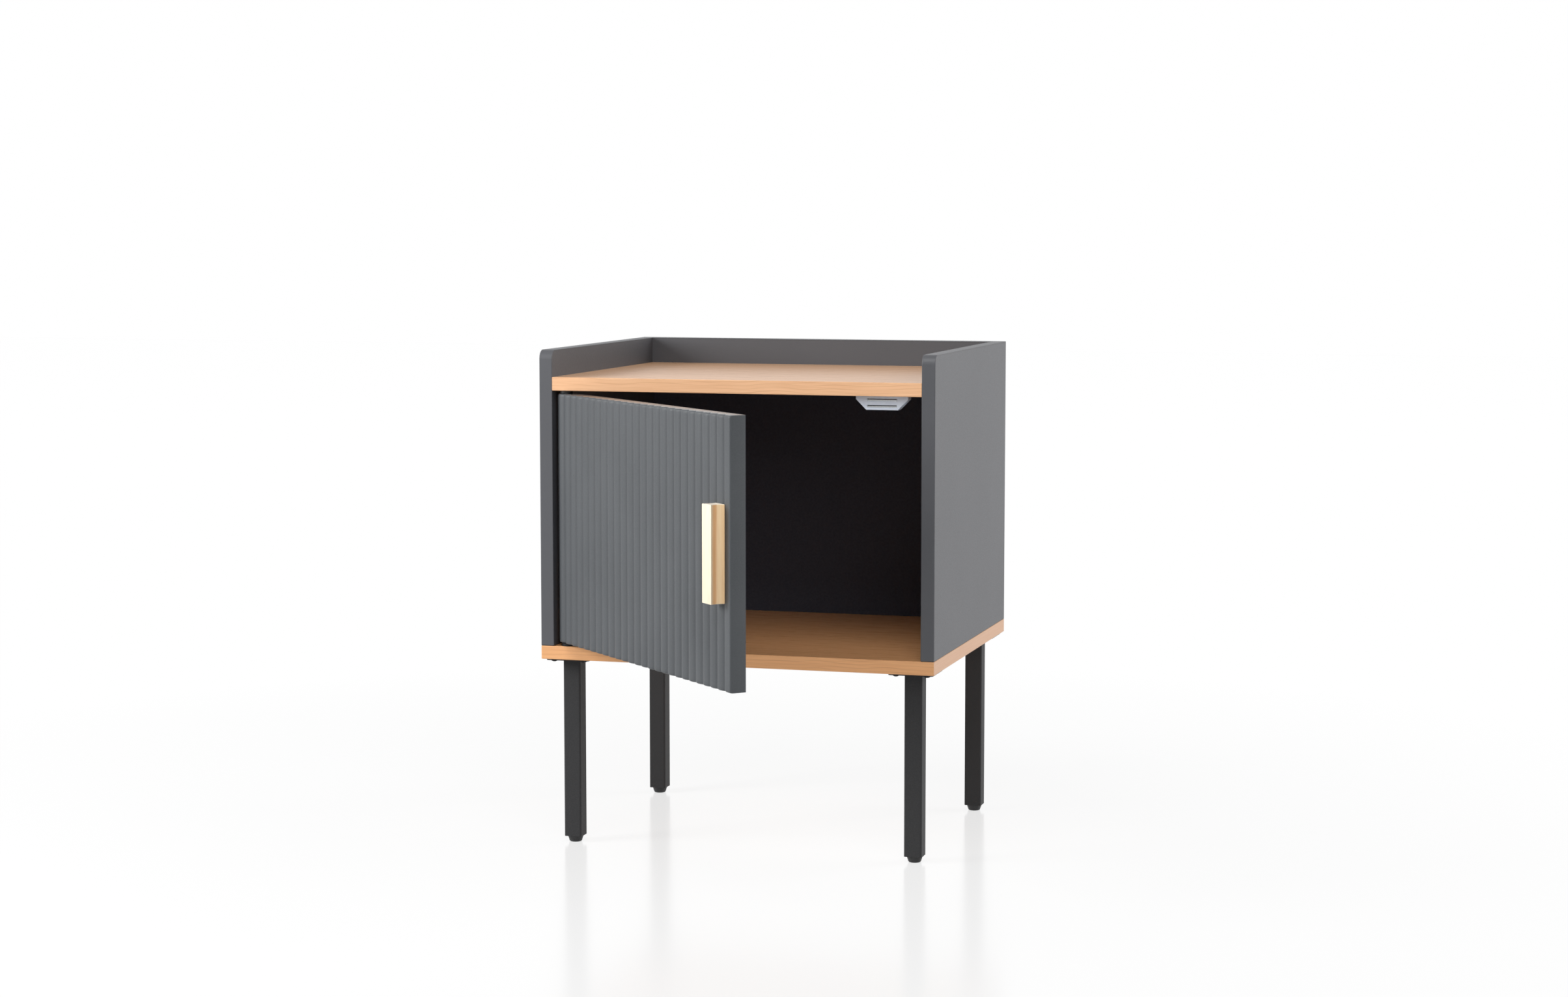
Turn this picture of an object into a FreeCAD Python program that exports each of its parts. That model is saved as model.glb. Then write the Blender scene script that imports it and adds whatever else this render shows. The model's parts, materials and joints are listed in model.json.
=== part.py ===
import FreeCAD, Part
import math
import os

V = FreeCAD.Vector

# A side table: an open tray on top, a cabinet under it with one reeded door on
# pivot pins, and four square steel legs. Millimetres; +Z is up, +Y is to the back.
# X is measured from the middle of the table and Z from the floor. The origin lies
# on the floor in the middle of all that the table covers with its door ajar.

# ---- Driving dimensions: the cabinet --------------------------------------
cabinet_width = 450.0
cabinet_depth = 360.0
panel_height = 330.0        # side panels, standing on the bottom board
board_thickness = 15.0      # every board of the cabinet
tray_depth = 30.0           # side panels and back rail above the table top
panel_corner_radius = 10.0  # upper front corner of each side panel
arris_radius = 0.8          # eased edges of boards

back_panel_thickness = 3.0
back_panel_inset = 6.0      # back panel's back face to the back of the cabinet
groove_depth = 4.0
groove_play = 0.2           # back panel in its grooves, all round

# ---- Driving dimensions: the door -----------------------------------------
door_thickness = 18.0
door_side_gap = 3.0
door_end_gap = 3.5          # above and below the door
door_open_angle = 45.0      # how far the door stands open as drawn
reed_count = 26
reed_depth = 2.7
reed_end_radius = 2.2       # rounding of the reeds' upper and lower ends
reed_end_steps = 3          # straight steps that make up each rounding
door_free_arris_radius = 2.0    # the upright front edge beside the handle
door_back_arris_radius = 1.2    # the two upright back edges

pivot_inset = 11.0          # pivot axis from the hinge edge of the door
pivot_depth = 8.0           # pivot axis from the front of the closed door
pin_diameter = 6.0
pin_in_door = 20.0
pin_in_bush = 9.0
pin_clearance = 0.05        # radial, pin in bush
pin_end_play = 0.3          # pin tip to the bottom of the bush
pin_tip_chamfer = 0.8
bush_diameter = 10.0
bush_flange_diameter = 14.0
bush_wall_behind_pin = 1.5
thrust_gap = 0.3            # bush flange to door

handle_length = 100.0
handle_from_edge = 19.5     # middle of the handle to the free edge of the door
handle_width = 20.0
handle_projection = 16.0
handle_waist = 15.0         # width between the two finger hollows
handle_foot_width = 19.0    # where the handle stands on the door
handle_arris_radius = 0.8
handle_screw_spacing = 64.0
handle_screw_diameter = 4.0
handle_screw_head_diameter = 8.0
handle_screw_head_height = 2.6
insert_diameter = 6.5
insert_length = 9.0
handle_screw_end_gap = 1.0  # screw point to the bottom of the insert

strike_width = 36.0
strike_height = 10.0
strike_thickness = 1.5
strike_screw_spacing = 24.0
strike_screw_diameter = 3.0
strike_screw_length = 10.0

# ---- Driving dimensions: the magnetic catch --------------------------------
catch_width = 58.5
catch_body_depth = 13.0
catch_height = 16.0
catch_chamfer = 11.5        # the sloping lower corners
catch_from_panel = 19.5     # catch to the right side panel
catch_front_wall = 2.0
catch_contact_gap = 0.3     # pole plates to the strike plate of the closed door
pole_width = 33.0
pole_thickness = 1.6
pole_length = 11.0
pole_spacing = 6.8          # middle of one pole plate to middle of the other
pole_drop = 5.6             # board to the middle of the upper pole plate
pole_projection = 0.4       # pole plates in front of the housing
pole_play = 1.0             # gap over each pole plate in its slot
magnet_length = 8.5
catch_screw_spacing = 47.0
catch_screw_floor = 6.0     # plastic between screw head and board
catch_screw_head_play = 0.3     # screw head in its well, all round

# ---- Driving dimensions: the legs ------------------------------------------
tube_size = 20.0
tube_wall = 1.5
tube_corner_radius = 2.0
tube_length = 202.0
tube_side_inset = 18.0      # outer face of the tube to the side of the cabinet
tube_end_inset = 21.0       # outer face of the tube to its front or back
leg_plate_size = 50.0
leg_plate_thickness = 2.0
leg_plate_corner_radius = 4.0
leg_screw_spacing = 35.0
glide_height = 7.0
glide_top_diameter = 18.0
glide_foot_diameter = 13.4
glide_foot_radius = 1.8
plug_height = 14.0
plug_core_size = 13.0
plug_fin_thickness = 1.4
plug_fin_count = 4
plug_play = 0.3             # plug fins in the tube, each side

# ---- Driving dimensions: fixings --------------------------------------------
wood_screw_diameter = 4.0
wood_screw_head_diameter = 7.6
wood_screw_head_height = 2.3
leg_screw_length = 12.0
catch_screw_diameter = 3.5
catch_screw_length = 16.0
catch_screw_head_diameter = 6.6
rail_screw_diameter = 4.0
rail_screw_length = 38.0
rail_screw_spacing = 280.0
confirmat_shank_diameter = 5.0
confirmat_collar_diameter = 7.0
confirmat_head_diameter = 10.0
confirmat_length = 50.0
confirmat_inset = 80.0      # from the front and the back of the cabinet

cam_diameter = 15.0
cam_height = 12.5
cam_from_end = 34.0         # cam axis to the end of the top board
cam_inset = 60.0            # from the front and the back of the cabinet
cam_slot_width = 2.0
cam_slot_length = 9.0
cam_slot_depth = 3.0
cam_mouth_play = 0.5        # bolt head in the cam, all round
cam_bolt_diameter = 6.0
cam_bolt_neck_diameter = 3.5
cam_bolt_head_diameter = 6.0
cam_bolt_head_length = 3.0
cam_bolt_in_panel = 11.0
dowel_diameter = 8.0
dowel_length = 30.0
dowel_in_face = 10.0        # how deep a dowel sits in the face of a board
dowel_inset = 95.0          # from the front and the back of the cabinet

# ---- Levels, from the floor up ------------------------------------------------
tube_top = glide_height + tube_length
cabinet_bottom = tube_top + leg_plate_thickness
floor_level = cabinet_bottom + board_thickness
panel_top = floor_level + panel_height
table_level = panel_top - tray_depth
ceiling_level = table_level - board_thickness
door_bottom = floor_level + door_end_gap
door_height = ceiling_level - floor_level - 2 * door_end_gap
door_top = door_bottom + door_height
handle_middle = door_bottom + door_height / 2

# ---- Places across and along the table -----------------------------------------
right = cabinet_width / 2
inner_right = right - board_thickness
inner_width = 2 * inner_right
panel_middle = right - board_thickness / 2
door_width = inner_width - 2 * door_side_gap
door_left = -inner_right + door_side_gap
reed_pitch = door_width / reed_count
handle_from_hinge = door_width - handle_from_edge
pivot_x = door_left + pivot_inset


def reach(from_hinge, in_front):
    """How far a point of the door comes in front of the pivot with the door ajar."""
    turn = math.radians(door_open_angle)
    along = from_hinge - pivot_inset
    return along * math.sin(turn) + (pivot_depth + in_front) * math.cos(turn)


handle_reach = reach(handle_from_hinge + handle_width / 2, handle_projection)
door_reach = max(handle_reach, reach(door_width, 0.0)) - pivot_depth
front = (door_reach - cabinet_depth) / 2
back = front + cabinet_depth
pivot_y = front + pivot_depth

back_panel_y = back - back_panel_inset - back_panel_thickness
catch_x = inner_right - catch_from_panel - catch_width / 2
catch_y = front + door_thickness + strike_thickness + catch_contact_gap + pole_projection
pole_levels = (ceiling_level - pole_drop, ceiling_level - pole_drop - pole_spacing)
leg_x = right - tube_side_inset - tube_size / 2
leg_front_y = front + tube_end_inset + tube_size / 2
leg_back_y = back - tube_end_inset - tube_size / 2
panel_joint_ys = (front + cam_inset, back - cam_inset)
dowel_ys = (front + dowel_inset, back - dowel_inset)
confirmat_ys = (front + confirmat_inset, back - confirmat_inset)


# ---- Plain shapes ----------------------------------------------------------------
def block(x0, x1, y0, y1, z0, z1):
    return Part.makeBox(x1 - x0, y1 - y0, z1 - z0, V(x0, y0, z0))


def rod(diameter, length, base, direction=V(0, 0, 1)):
    return Part.makeCylinder(diameter / 2, length, base, direction)


def turned(outline, base, direction=V(0, 0, 1)):
    """A solid of revolution from (radius, height) points, set on base along direction."""
    points = [V(radius, 0, height) for radius, height in outline]
    face = Part.Face(Part.makePolygon(points + [points[0]]))
    shape = face.revolve(V(0, 0, 0), V(0, 0, 1), 360)
    shape.Placement = FreeCAD.Placement(base, FreeCAD.Rotation(V(0, 0, 1), direction))
    return shape


def eased(shape, radius=arris_radius):
    """The shape with each of its straight edges rounded."""
    return shape.makeFillet(radius, shape.Edges)


def upright_edges(shape):
    return [e for e in shape.Edges if abs(e.tangentAt(e.FirstParameter).z) > 0.999]


def square_block(size, x, y, z0, z1):
    return block(x - size / 2, x + size / 2, y - size / 2, y + size / 2, z0, z1)


def square_bar(size, radius, x, y, z0, z1):
    bar = square_block(size, x, y, z0, z1)
    return bar.makeFillet(radius, upright_edges(bar))


def mirrored(shape):
    """The shape's twin on the other side of the table."""
    return shape.mirror(V(0, 0, 0), V(1, 0, 0))


def cut_all(shape, tools):
    return shape.cut(Part.makeCompound(tools))


def flat_screw(diameter, length, head_diameter, base, direction):
    """A countersunk screw, and the hole it fills: head flush at base, point along direction."""
    head_height = (head_diameter - diameter) / 2
    outline = [
        (0, 0), (head_diameter / 2, 0), (diameter / 2, head_height),
        (diameter / 2, length - diameter / 2), (0, length),
    ]
    return turned(outline, base, direction)


def pan_screw(diameter, length, head_diameter, head_height, base, direction):
    """A raised-headed screw: its head stands behind base, its shank runs along direction."""
    crown = head_diameter / 2 - head_height / 2
    outline = [
        (0, -head_height), (crown, -head_height), (head_diameter / 2, -head_height / 2),
        (head_diameter / 2, 0), (diameter / 2, 0), (diameter / 2, length - diameter / 2),
        (0, length),
    ]
    return turned(outline, base, direction)


# ---- Cabinet fixings ---------------------------------------------------------------
def both_sides(make):
    """What make builds for the right side panel, and its twin on the left."""
    ours = make()
    return ours + [mirrored(s) for s in ours]


def confirmat_screws():
    """Screws from under the bottom board up into the lower edges of the side panels."""
    head = (confirmat_head_diameter - confirmat_collar_diameter) / 2
    outline = [
        (0, 0), (confirmat_head_diameter / 2, 0), (confirmat_collar_diameter / 2, head),
        (confirmat_collar_diameter / 2, board_thickness - head),
        (confirmat_shank_diameter / 2, board_thickness),
        (confirmat_shank_diameter / 2, confirmat_length - confirmat_shank_diameter / 2),
        (0, confirmat_length),
    ]
    return [turned(outline, V(panel_middle, y, cabinet_bottom)) for y in confirmat_ys]


def floor_dowels():
    """Dowels between the bottom board and a side panel."""
    base = floor_level - dowel_in_face
    return [rod(dowel_diameter, dowel_length, V(panel_middle, y, base)) for y in dowel_ys]


def top_dowels():
    """Dowels between a side panel and the end of the top board."""
    middle = table_level - board_thickness / 2
    start = inner_right + dowel_in_face
    return [rod(dowel_diameter, dowel_length, V(start, y, middle), V(-1, 0, 0)) for y in dowel_ys]


def rail_dowels():
    """One dowel between a side panel and the end of the back rail."""
    start = V(inner_right + dowel_in_face, back - board_thickness / 2, table_level)
    return [rod(dowel_diameter, dowel_length, start, V(-1, 0, 0))]


def cam_bolts():
    """Bolts screwed into a side panel, whose heads the cams of the top board hold."""
    neck = inner_right - cam_from_end + cam_bolt_head_length
    bolts = []
    for y in panel_joint_ys:
        middle = table_level - board_thickness / 2
        start = V(inner_right + cam_bolt_in_panel, y, middle)
        grip = cam_bolt_in_panel + cam_from_end - cam_diameter / 2
        shank = rod(cam_bolt_diameter, grip, start, V(-1, 0, 0))
        waist = rod(cam_bolt_neck_diameter, start.x - neck, start, V(-1, 0, 0))
        head = rod(cam_bolt_head_diameter, cam_bolt_head_length, V(neck, y, middle), V(-1, 0, 0))
        bolts.append(shank.fuse([waist, head]).removeSplitter())
    return bolts


def cam_axis(y):
    return V(inner_right - cam_from_end, y, ceiling_level)


def cam_locks():
    """Round cams in the underside of the top board, with a cross slot to turn them."""
    cams = []
    for y in panel_joint_ys:
        at = cam_axis(y)
        middle = table_level - board_thickness / 2
        disc = rod(cam_diameter, cam_height, at)
        mouth_diameter = cam_bolt_head_diameter + 2 * cam_mouth_play
        mouth = rod(mouth_diameter, cam_diameter, V(at.x, y, middle), V(1, 0, 0))
        slots = [
            block(at.x - a / 2, at.x + a / 2, y - b / 2, y + b / 2, at.z, at.z + cam_slot_depth)
            for a, b in ((cam_slot_length, cam_slot_width), (cam_slot_width, cam_slot_length))
        ]
        cams.append(cut_all(disc, [mouth] + slots))
    return cams


def rail_screws():
    """Screws through the back rail into the back edge of the top board."""
    middle = table_level - board_thickness / 2
    return [
        flat_screw(rail_screw_diameter, rail_screw_length, wood_screw_head_diameter,
                   V(x, back, middle), V(0, -1, 0))
        for x in (-rail_screw_spacing / 2, rail_screw_spacing / 2)
    ]


# ---- Cabinet boards ------------------------------------------------------------------
def groove_box():
    """The space that the back panel's grooves take out of the four boards round it."""
    side = inner_right + groove_depth
    lower = floor_level - groove_depth
    upper = ceiling_level + groove_depth
    y0 = back_panel_y - groove_play / 2
    return block(-side, side, y0, y0 + back_panel_thickness + groove_play, lower, upper)


def side_panel():
    """The right side panel: upper front corner rounded, bored and grooved inside."""
    panel = block(inner_right, right, front, back, floor_level, panel_top)
    corner = [
        e for e in panel.Edges
        if all(abs(v.Y - front) < 1e-6 and abs(v.Z - panel_top) < 1e-6 for v in e.Vertexes)
    ]
    panel = eased(panel.makeFillet(panel_corner_radius, corner))
    bores = floor_dowels() + top_dowels() + rail_dowels() + confirmat_screws()
    for y in panel_joint_ys:
        start = V(inner_right, y, table_level - board_thickness / 2)
        bores.append(rod(cam_bolt_diameter, cam_bolt_in_panel, start, V(1, 0, 0)))
    return cut_all(panel, bores + [groove_box()])


def bottom_board():
    """The full-width board that the side panels stand on and the legs are screwed to."""
    board = eased(block(-right, right, front, back, cabinet_bottom, floor_level))
    bores = both_sides(confirmat_screws) + both_sides(floor_dowels)
    bores += [s for leg in legs for s in leg_screw_shanks(leg)]
    bores += [bush_bore(floor_level, V(0, 0, -1)), groove_box()]
    return cut_all(board, bores)


def top_board():
    """The board between the side panels: the table top above, the cabinet's ceiling below."""
    board_back = back - board_thickness
    board = block(-inner_right, inner_right, front, board_back, ceiling_level, table_level)
    ends = [
        e for e in board.Edges
        if all(abs(v.Y - front) < 1e-6 for v in e.Vertexes) and abs(e.tangentAt(0).x) > 0.999
    ]
    board = board.makeFillet(arris_radius, ends)
    bores = both_sides(top_dowels) + rail_screws() + catch_screw_shanks()

    def cam_bores():
        middle = table_level - board_thickness / 2
        holes = []
        for y in panel_joint_ys:
            start = V(inner_right, y, middle)
            holes.append(rod(dowel_diameter, cam_from_end, start, V(-1, 0, 0)))
            holes.append(rod(cam_diameter, cam_height, cam_axis(y)))
        return holes

    bores += both_sides(cam_bores) + [bush_bore(ceiling_level, V(0, 0, 1))]
    return cut_all(board, bores)


def back_rail():
    """The rail behind the top board: the tray's back upstand, grooved below for the back panel."""
    rail_front = back - board_thickness
    rail = block(-inner_right, inner_right, rail_front, back, ceiling_level, panel_top)
    upper = [
        e for e in rail.Edges
        if all(abs(v.Z - panel_top) < 1e-6 for v in e.Vertexes) and abs(e.tangentAt(0).x) > 0.999
    ]
    rail = rail.makeFillet(arris_radius, upper)
    return cut_all(rail, both_sides(rail_dowels) + rail_screws() + [groove_box()])


def back_panel():
    """The thin board in the grooves behind the cabinet."""
    held = groove_depth - groove_play
    return block(
        -inner_right - held, inner_right + held, back_panel_y, back_panel_y + back_panel_thickness,
        floor_level - held, ceiling_level + held)


# ---- Pivots ----------------------------------------------------------------------------
# The upper and lower pivots are alike: level is the face of the board that carries the
# bush, and inward points from the door into that board.
def bush_depth():
    return pin_in_bush + bush_wall_behind_pin - (door_end_gap - thrust_gap)


def bush_bore(level, inward):
    return rod(bush_diameter, bush_depth(), V(pivot_x, pivot_y, level), inward)


def pivot_bush(level, inward):
    """A nylon bush: its barrel in the board, its flange spacing the door from the board."""
    flange = door_end_gap - thrust_gap
    bore = pin_diameter / 2 + pin_clearance
    outline = [
        (bore, -flange), (bush_flange_diameter / 2, -flange), (bush_flange_diameter / 2, 0),
        (bush_diameter / 2, 0), (bush_diameter / 2, bush_depth()), (0, bush_depth()),
        (0, bush_depth() - bush_wall_behind_pin), (bore, bush_depth() - bush_wall_behind_pin),
    ]
    return turned(outline, V(pivot_x, pivot_y, level), inward)


def pivot_pin(level, inward):
    """A steel pin pressed into the end of the door, its chamfered tip in the bush."""
    flange = door_end_gap - thrust_gap
    length = pin_in_door + door_end_gap + pin_in_bush - flange - pin_end_play
    outline = [
        (0, 0), (pin_diameter / 2, 0), (pin_diameter / 2, length - pin_tip_chamfer),
        (pin_diameter / 2 - pin_tip_chamfer, length), (0, length),
    ]
    start = V(pivot_x, pivot_y, level) - inward * (door_end_gap + pin_in_door)
    return turned(outline, start, inward)


# ---- Door ---------------------------------------------------------------------------------
# Everything on the door is drawn with the door shut and then swung open about the pivots.
door_back_y = front + door_thickness


def swung(shape):
    shape.rotate(V(pivot_x, pivot_y, 0), V(0, 0, 1), -door_open_angle)
    return shape


def reed_edge(start):
    """One reed in plan: an arc from valley to valley."""
    valley = front + reed_depth
    crown = V(start + reed_pitch / 2, front, 0)
    return Part.Arc(V(start, valley, 0), crown, V(start + reed_pitch, valley, 0)).toShape()


def last_reed_edges(start):
    """The reed at the free edge: it rises like the others and then runs on flat."""
    valley = front + reed_depth
    crown = V(start + reed_pitch / 2, front, 0)
    radius = (reed_pitch ** 2 / 4 + reed_depth ** 2) / (2 * reed_depth)
    turn = math.asin(reed_pitch / 2 / radius) / 2
    flank = V(crown.x - radius * math.sin(turn), front + radius * (1 - math.cos(turn)), 0)
    end, arris = start + reed_pitch, door_free_arris_radius
    bevel = arris * (1 - math.sqrt(0.5))
    return [
        Part.Arc(V(start, valley, 0), flank, crown).toShape(),
        Part.makeLine(crown, V(end - arris, front, 0)),
        Part.Arc(V(end - arris, front, 0), V(end - bevel, front + bevel, 0),
                 V(end, front + arris, 0)).toShape(),
    ]


def door_plan():
    """The door in plan: reeds in front, and square behind its back face, where it is trimmed."""
    door_right = door_left + door_width
    edges = [reed_edge(door_left + i * reed_pitch) for i in range(reed_count - 1)]
    edges += last_reed_edges(door_right - reed_pitch)
    behind = door_back_y + reed_end_radius
    corners = [V(door_right, front + door_free_arris_radius, 0), V(door_right, behind, 0),
               V(door_left, behind, 0), V(door_left, front + reed_depth, 0)]
    return Part.Face(Part.Wire(edges + Part.makePolygon(corners).Edges))


def reeded_slab():
    """The plan carried up the door, and back along a quarter circle at both of its ends."""
    plan = door_plan()
    low, high = door_bottom + reed_end_radius, door_top - reed_end_radius
    plan.translate(V(0, 0, low))
    slab = plan.extrude(V(0, 0, high - low))
    turns = [math.radians(90) * i / reed_end_steps for i in range(reed_end_steps + 1)]
    steps = []
    for level, way in ((0, -1), (high - low, 1)):
        marks = [
            V(0, reed_end_radius * (1 - math.cos(turn)),
              level + way * reed_end_radius * math.sin(turn))
            for turn in turns
        ]
        for here, there in zip(marks, marks[1:]):
            section = plan.copy()
            section.translate(here)
            steps.append(section.extrude(there - here))
    return slab.fuse(steps).removeSplitter()


def door_panel():
    """The door: a reeded front, the reeds' ends rounded over, bored for pins and screws."""
    door_right = door_left + door_width
    envelope = block(door_left, door_right, front, door_back_y, door_bottom, door_top)
    back_uprights = [
        e for e in upright_edges(envelope)
        if all(abs(v.Y - door_back_y) < 1e-6 for v in e.Vertexes)
    ]
    envelope = envelope.makeFillet(door_back_arris_radius, back_uprights)
    bores = [
        rod(pin_diameter, pin_in_door, V(pivot_x, pivot_y, door_top), V(0, 0, -1)),
        rod(pin_diameter, pin_in_door, V(pivot_x, pivot_y, door_bottom)),
    ]
    bores += [
        rod(handle_screw_diameter, door_thickness, at, V(0, -1, 0)) for at in handle_screw_places()
    ]
    bores += strike_screws()
    return cut_all(reeded_slab().common(envelope), bores)


def handle_x():
    return door_left + handle_from_hinge


def handle_screw_places():
    """Where the handle screws enter the back of the door."""
    half = handle_screw_spacing / 2
    return [V(handle_x(), door_back_y, handle_middle + side * half) for side in (-1, 1)]


def door_handle():
    """A wooden grip, hollowed down each side for the fingers, standing on the reeds."""
    x = handle_x()
    tip = front - handle_projection
    throat = tip + handle_projection / 2
    face, waist, foot = handle_width / 2, handle_waist / 2, handle_foot_width / 2

    def hollow(side):
        return Part.Arc(V(x + side * face, tip, 0), V(x + side * waist, throat, 0),
                        V(x + side * foot, front, 0)).toShape()

    grip = Part.makeLine(V(x - face, tip, 0), V(x + face, tip, 0))
    base = Part.makeLine(V(x + foot, front, 0), V(x - foot, front, 0))
    plan = Part.Face(Part.Wire([grip, hollow(1), base, hollow(-1)]))
    plan.translate(V(0, 0, handle_middle - handle_length / 2))
    bar = plan.extrude(V(0, 0, handle_length))
    front_edges = [e for e in bar.Edges if all(abs(v.Y - tip) < 1e-6 for v in e.Vertexes)]
    bar = bar.makeFillet(handle_arris_radius, front_edges)
    sockets = [
        rod(insert_diameter, insert_length, V(at.x, front, at.z), V(0, -1, 0))
        for at in handle_screw_places()
    ]
    return cut_all(bar, sockets)


def handle_inserts():
    """Threaded brass bushes pressed into the back of the handle."""
    return [
        rod(insert_diameter, insert_length, V(at.x, front, at.z), V(0, -1, 0)).cut(
            rod(handle_screw_diameter, insert_length, V(at.x, front, at.z), V(0, -1, 0)))
        for at in handle_screw_places()
    ]


def handle_screws():
    length = door_thickness + insert_length - handle_screw_end_gap
    return [
        pan_screw(handle_screw_diameter, length, handle_screw_head_diameter,
                  handle_screw_head_height, at, V(0, -1, 0))
        for at in handle_screw_places()
    ]


def strike_level():
    return (pole_levels[0] + pole_levels[1]) / 2


def strike_screw_places():
    half = strike_screw_spacing / 2
    y = door_back_y + strike_thickness
    return [V(catch_x + side * half, y, strike_level()) for side in (-1, 1)]


def strike_screws():
    return [
        flat_screw(strike_screw_diameter, strike_screw_length, 2 * strike_screw_diameter,
                   at, V(0, -1, 0))
        for at in strike_screw_places()
    ]


def strike_plate():
    """The steel plate on the back of the door that the magnet holds."""
    x0, x1 = catch_x - strike_width / 2, catch_x + strike_width / 2
    z0, z1 = strike_level() - strike_height / 2, strike_level() + strike_height / 2
    plate = block(x0, x1, door_back_y, door_back_y + strike_thickness, z0, z1)
    corners = [e for e in plate.Edges if abs(e.tangentAt(0).y) > 0.999]
    return cut_all(plate.makeFillet(strike_height / 5, corners), strike_screws())


# ---- Magnetic catch -------------------------------------------------------------------------
def catch_screw_places():
    half = catch_screw_spacing / 2
    y = catch_y + catch_body_depth / 2
    return [V(catch_x + side * half, y, ceiling_level - catch_screw_floor) for side in (-1, 1)]


def catch_screws():
    return [
        pan_screw(catch_screw_diameter, catch_screw_length, catch_screw_head_diameter,
                  wood_screw_head_height, at, V(0, 0, 1))
        for at in catch_screw_places()
    ]


def catch_screw_shanks():
    return [rod(catch_screw_diameter, catch_screw_length, at) for at in catch_screw_places()]


def pole_plates():
    """Two flat steel bars on either side of the magnet, their ends showing in front."""
    x0, x1 = catch_x - pole_width / 2, catch_x + pole_width / 2
    y0 = catch_y - pole_projection
    half = pole_thickness / 2
    return [block(x0, x1, y0, y0 + pole_length, z - half, z + half) for z in pole_levels]


def catch_magnet():
    """The ferrite block between the pole plates."""
    half = pole_thickness / 2
    y0 = catch_y + catch_front_wall
    return block(catch_x - pole_width / 2, catch_x + pole_width / 2, y0, y0 + magnet_length,
                 pole_levels[1] + half, pole_levels[0] - half)


def catch_housing():
    """The plastic body: sloping lower corners, slots for the pole plates, sunk screw holes."""
    half, flat = catch_width / 2, catch_width / 2 - catch_chamfer
    low = ceiling_level - catch_height
    outline = [
        V(catch_x - half, catch_y, ceiling_level), V(catch_x + half, catch_y, ceiling_level),
        V(catch_x + half, catch_y, low + catch_chamfer), V(catch_x + flat, catch_y, low),
        V(catch_x - flat, catch_y, low), V(catch_x - half, catch_y, low + catch_chamfer),
    ]
    body = Part.Face(Part.makePolygon(outline + [outline[0]])).extrude(V(0, catch_body_depth, 0))
    body = body.makeFillet(arris_radius, [
        e for e in body.Edges if all(abs(v.Y - catch_y) < 1e-6 for v in e.Vertexes)
        and not all(abs(v.Z - ceiling_level) < 1e-6 for v in e.Vertexes)])
    x0, x1 = catch_x - pole_width / 2, catch_x + pole_width / 2
    slots = [
        block(x0, x1, catch_y, catch_y + catch_front_wall, z - pole_thickness / 2,
              z + pole_thickness / 2 + pole_play)
        for z in pole_levels
    ]
    pocket = block(
        x0, x1, catch_y + catch_front_wall, catch_y + catch_body_depth,
        pole_levels[1] - pole_thickness / 2, pole_levels[0] + pole_thickness / 2 + pole_play)
    screw_wells = [
        rod(catch_screw_head_diameter + 2 * catch_screw_head_play, catch_height, at, V(0, 0, -1))
        for at in catch_screw_places()
    ]
    return cut_all(body, slots + [pocket] + screw_wells + catch_screw_shanks())


# ---- Legs -------------------------------------------------------------------------------------
legs = {
    "front_left": (-leg_x, leg_front_y),
    "front_right": (leg_x, leg_front_y),
    "back_left": (-leg_x, leg_back_y),
    "back_right": (leg_x, leg_back_y),
}


def leg_tube(x, y):
    """Square steel tube, welded to the plate above it."""
    inner_size, inner_radius = tube_size - 2 * tube_wall, tube_corner_radius - tube_wall
    outer = square_bar(tube_size, tube_corner_radius, x, y, glide_height, tube_top)
    return outer.cut(square_bar(inner_size, inner_radius, x, y, glide_height, tube_top))


def leg_screw_places(leg):
    x, y = legs[leg]
    half = leg_screw_spacing / 2
    return [V(x + i * half, y + j * half, tube_top) for i in (-1, 1) for j in (-1, 1)]


def leg_screw_shanks(leg):
    return [rod(wood_screw_diameter, leg_screw_length, at) for at in leg_screw_places(leg)]


def leg_screws():
    return [
        pan_screw(wood_screw_diameter, leg_screw_length, wood_screw_head_diameter,
                  wood_screw_head_height, at, V(0, 0, 1))
        for leg in legs for at in leg_screw_places(leg)
    ]


def leg_plate(leg):
    """The plate that four screws hold to the underside of the cabinet."""
    x, y = legs[leg]
    plate = square_bar(leg_plate_size, leg_plate_corner_radius, x, y, tube_top, cabinet_bottom)
    return cut_all(plate, leg_screw_shanks(leg))


def foot_glide(x, y):
    """Plastic glide: a finned plug inside the tube and a tapered round foot under it."""
    cone = Part.makeCone(glide_foot_diameter / 2, glide_top_diameter / 2, glide_height, V(x, y, 0))
    rim = [e for e in cone.Edges if len(e.Vertexes) == 1 and abs(e.Vertexes[0].Z) < 1e-6]
    cone = cone.makeFillet(glide_foot_radius, rim)
    core = square_block(plug_core_size, x, y, glide_height, glide_height + plug_height)
    fin_size = tube_size - 2 * tube_wall - 2 * plug_play
    fin_pitch = (plug_height - plug_fin_thickness) / (plug_fin_count - 1)
    fins = []
    for i in range(plug_fin_count):
        z = glide_height + i * fin_pitch
        fins.append(square_block(fin_size, x, y, z, z + plug_fin_thickness))
    return cone.fuse([core] + fins).removeSplitter()


# ---- Every piece by name -------------------------------------------------------------------------
def group(solids):
    return Part.makeCompound(solids)


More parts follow.
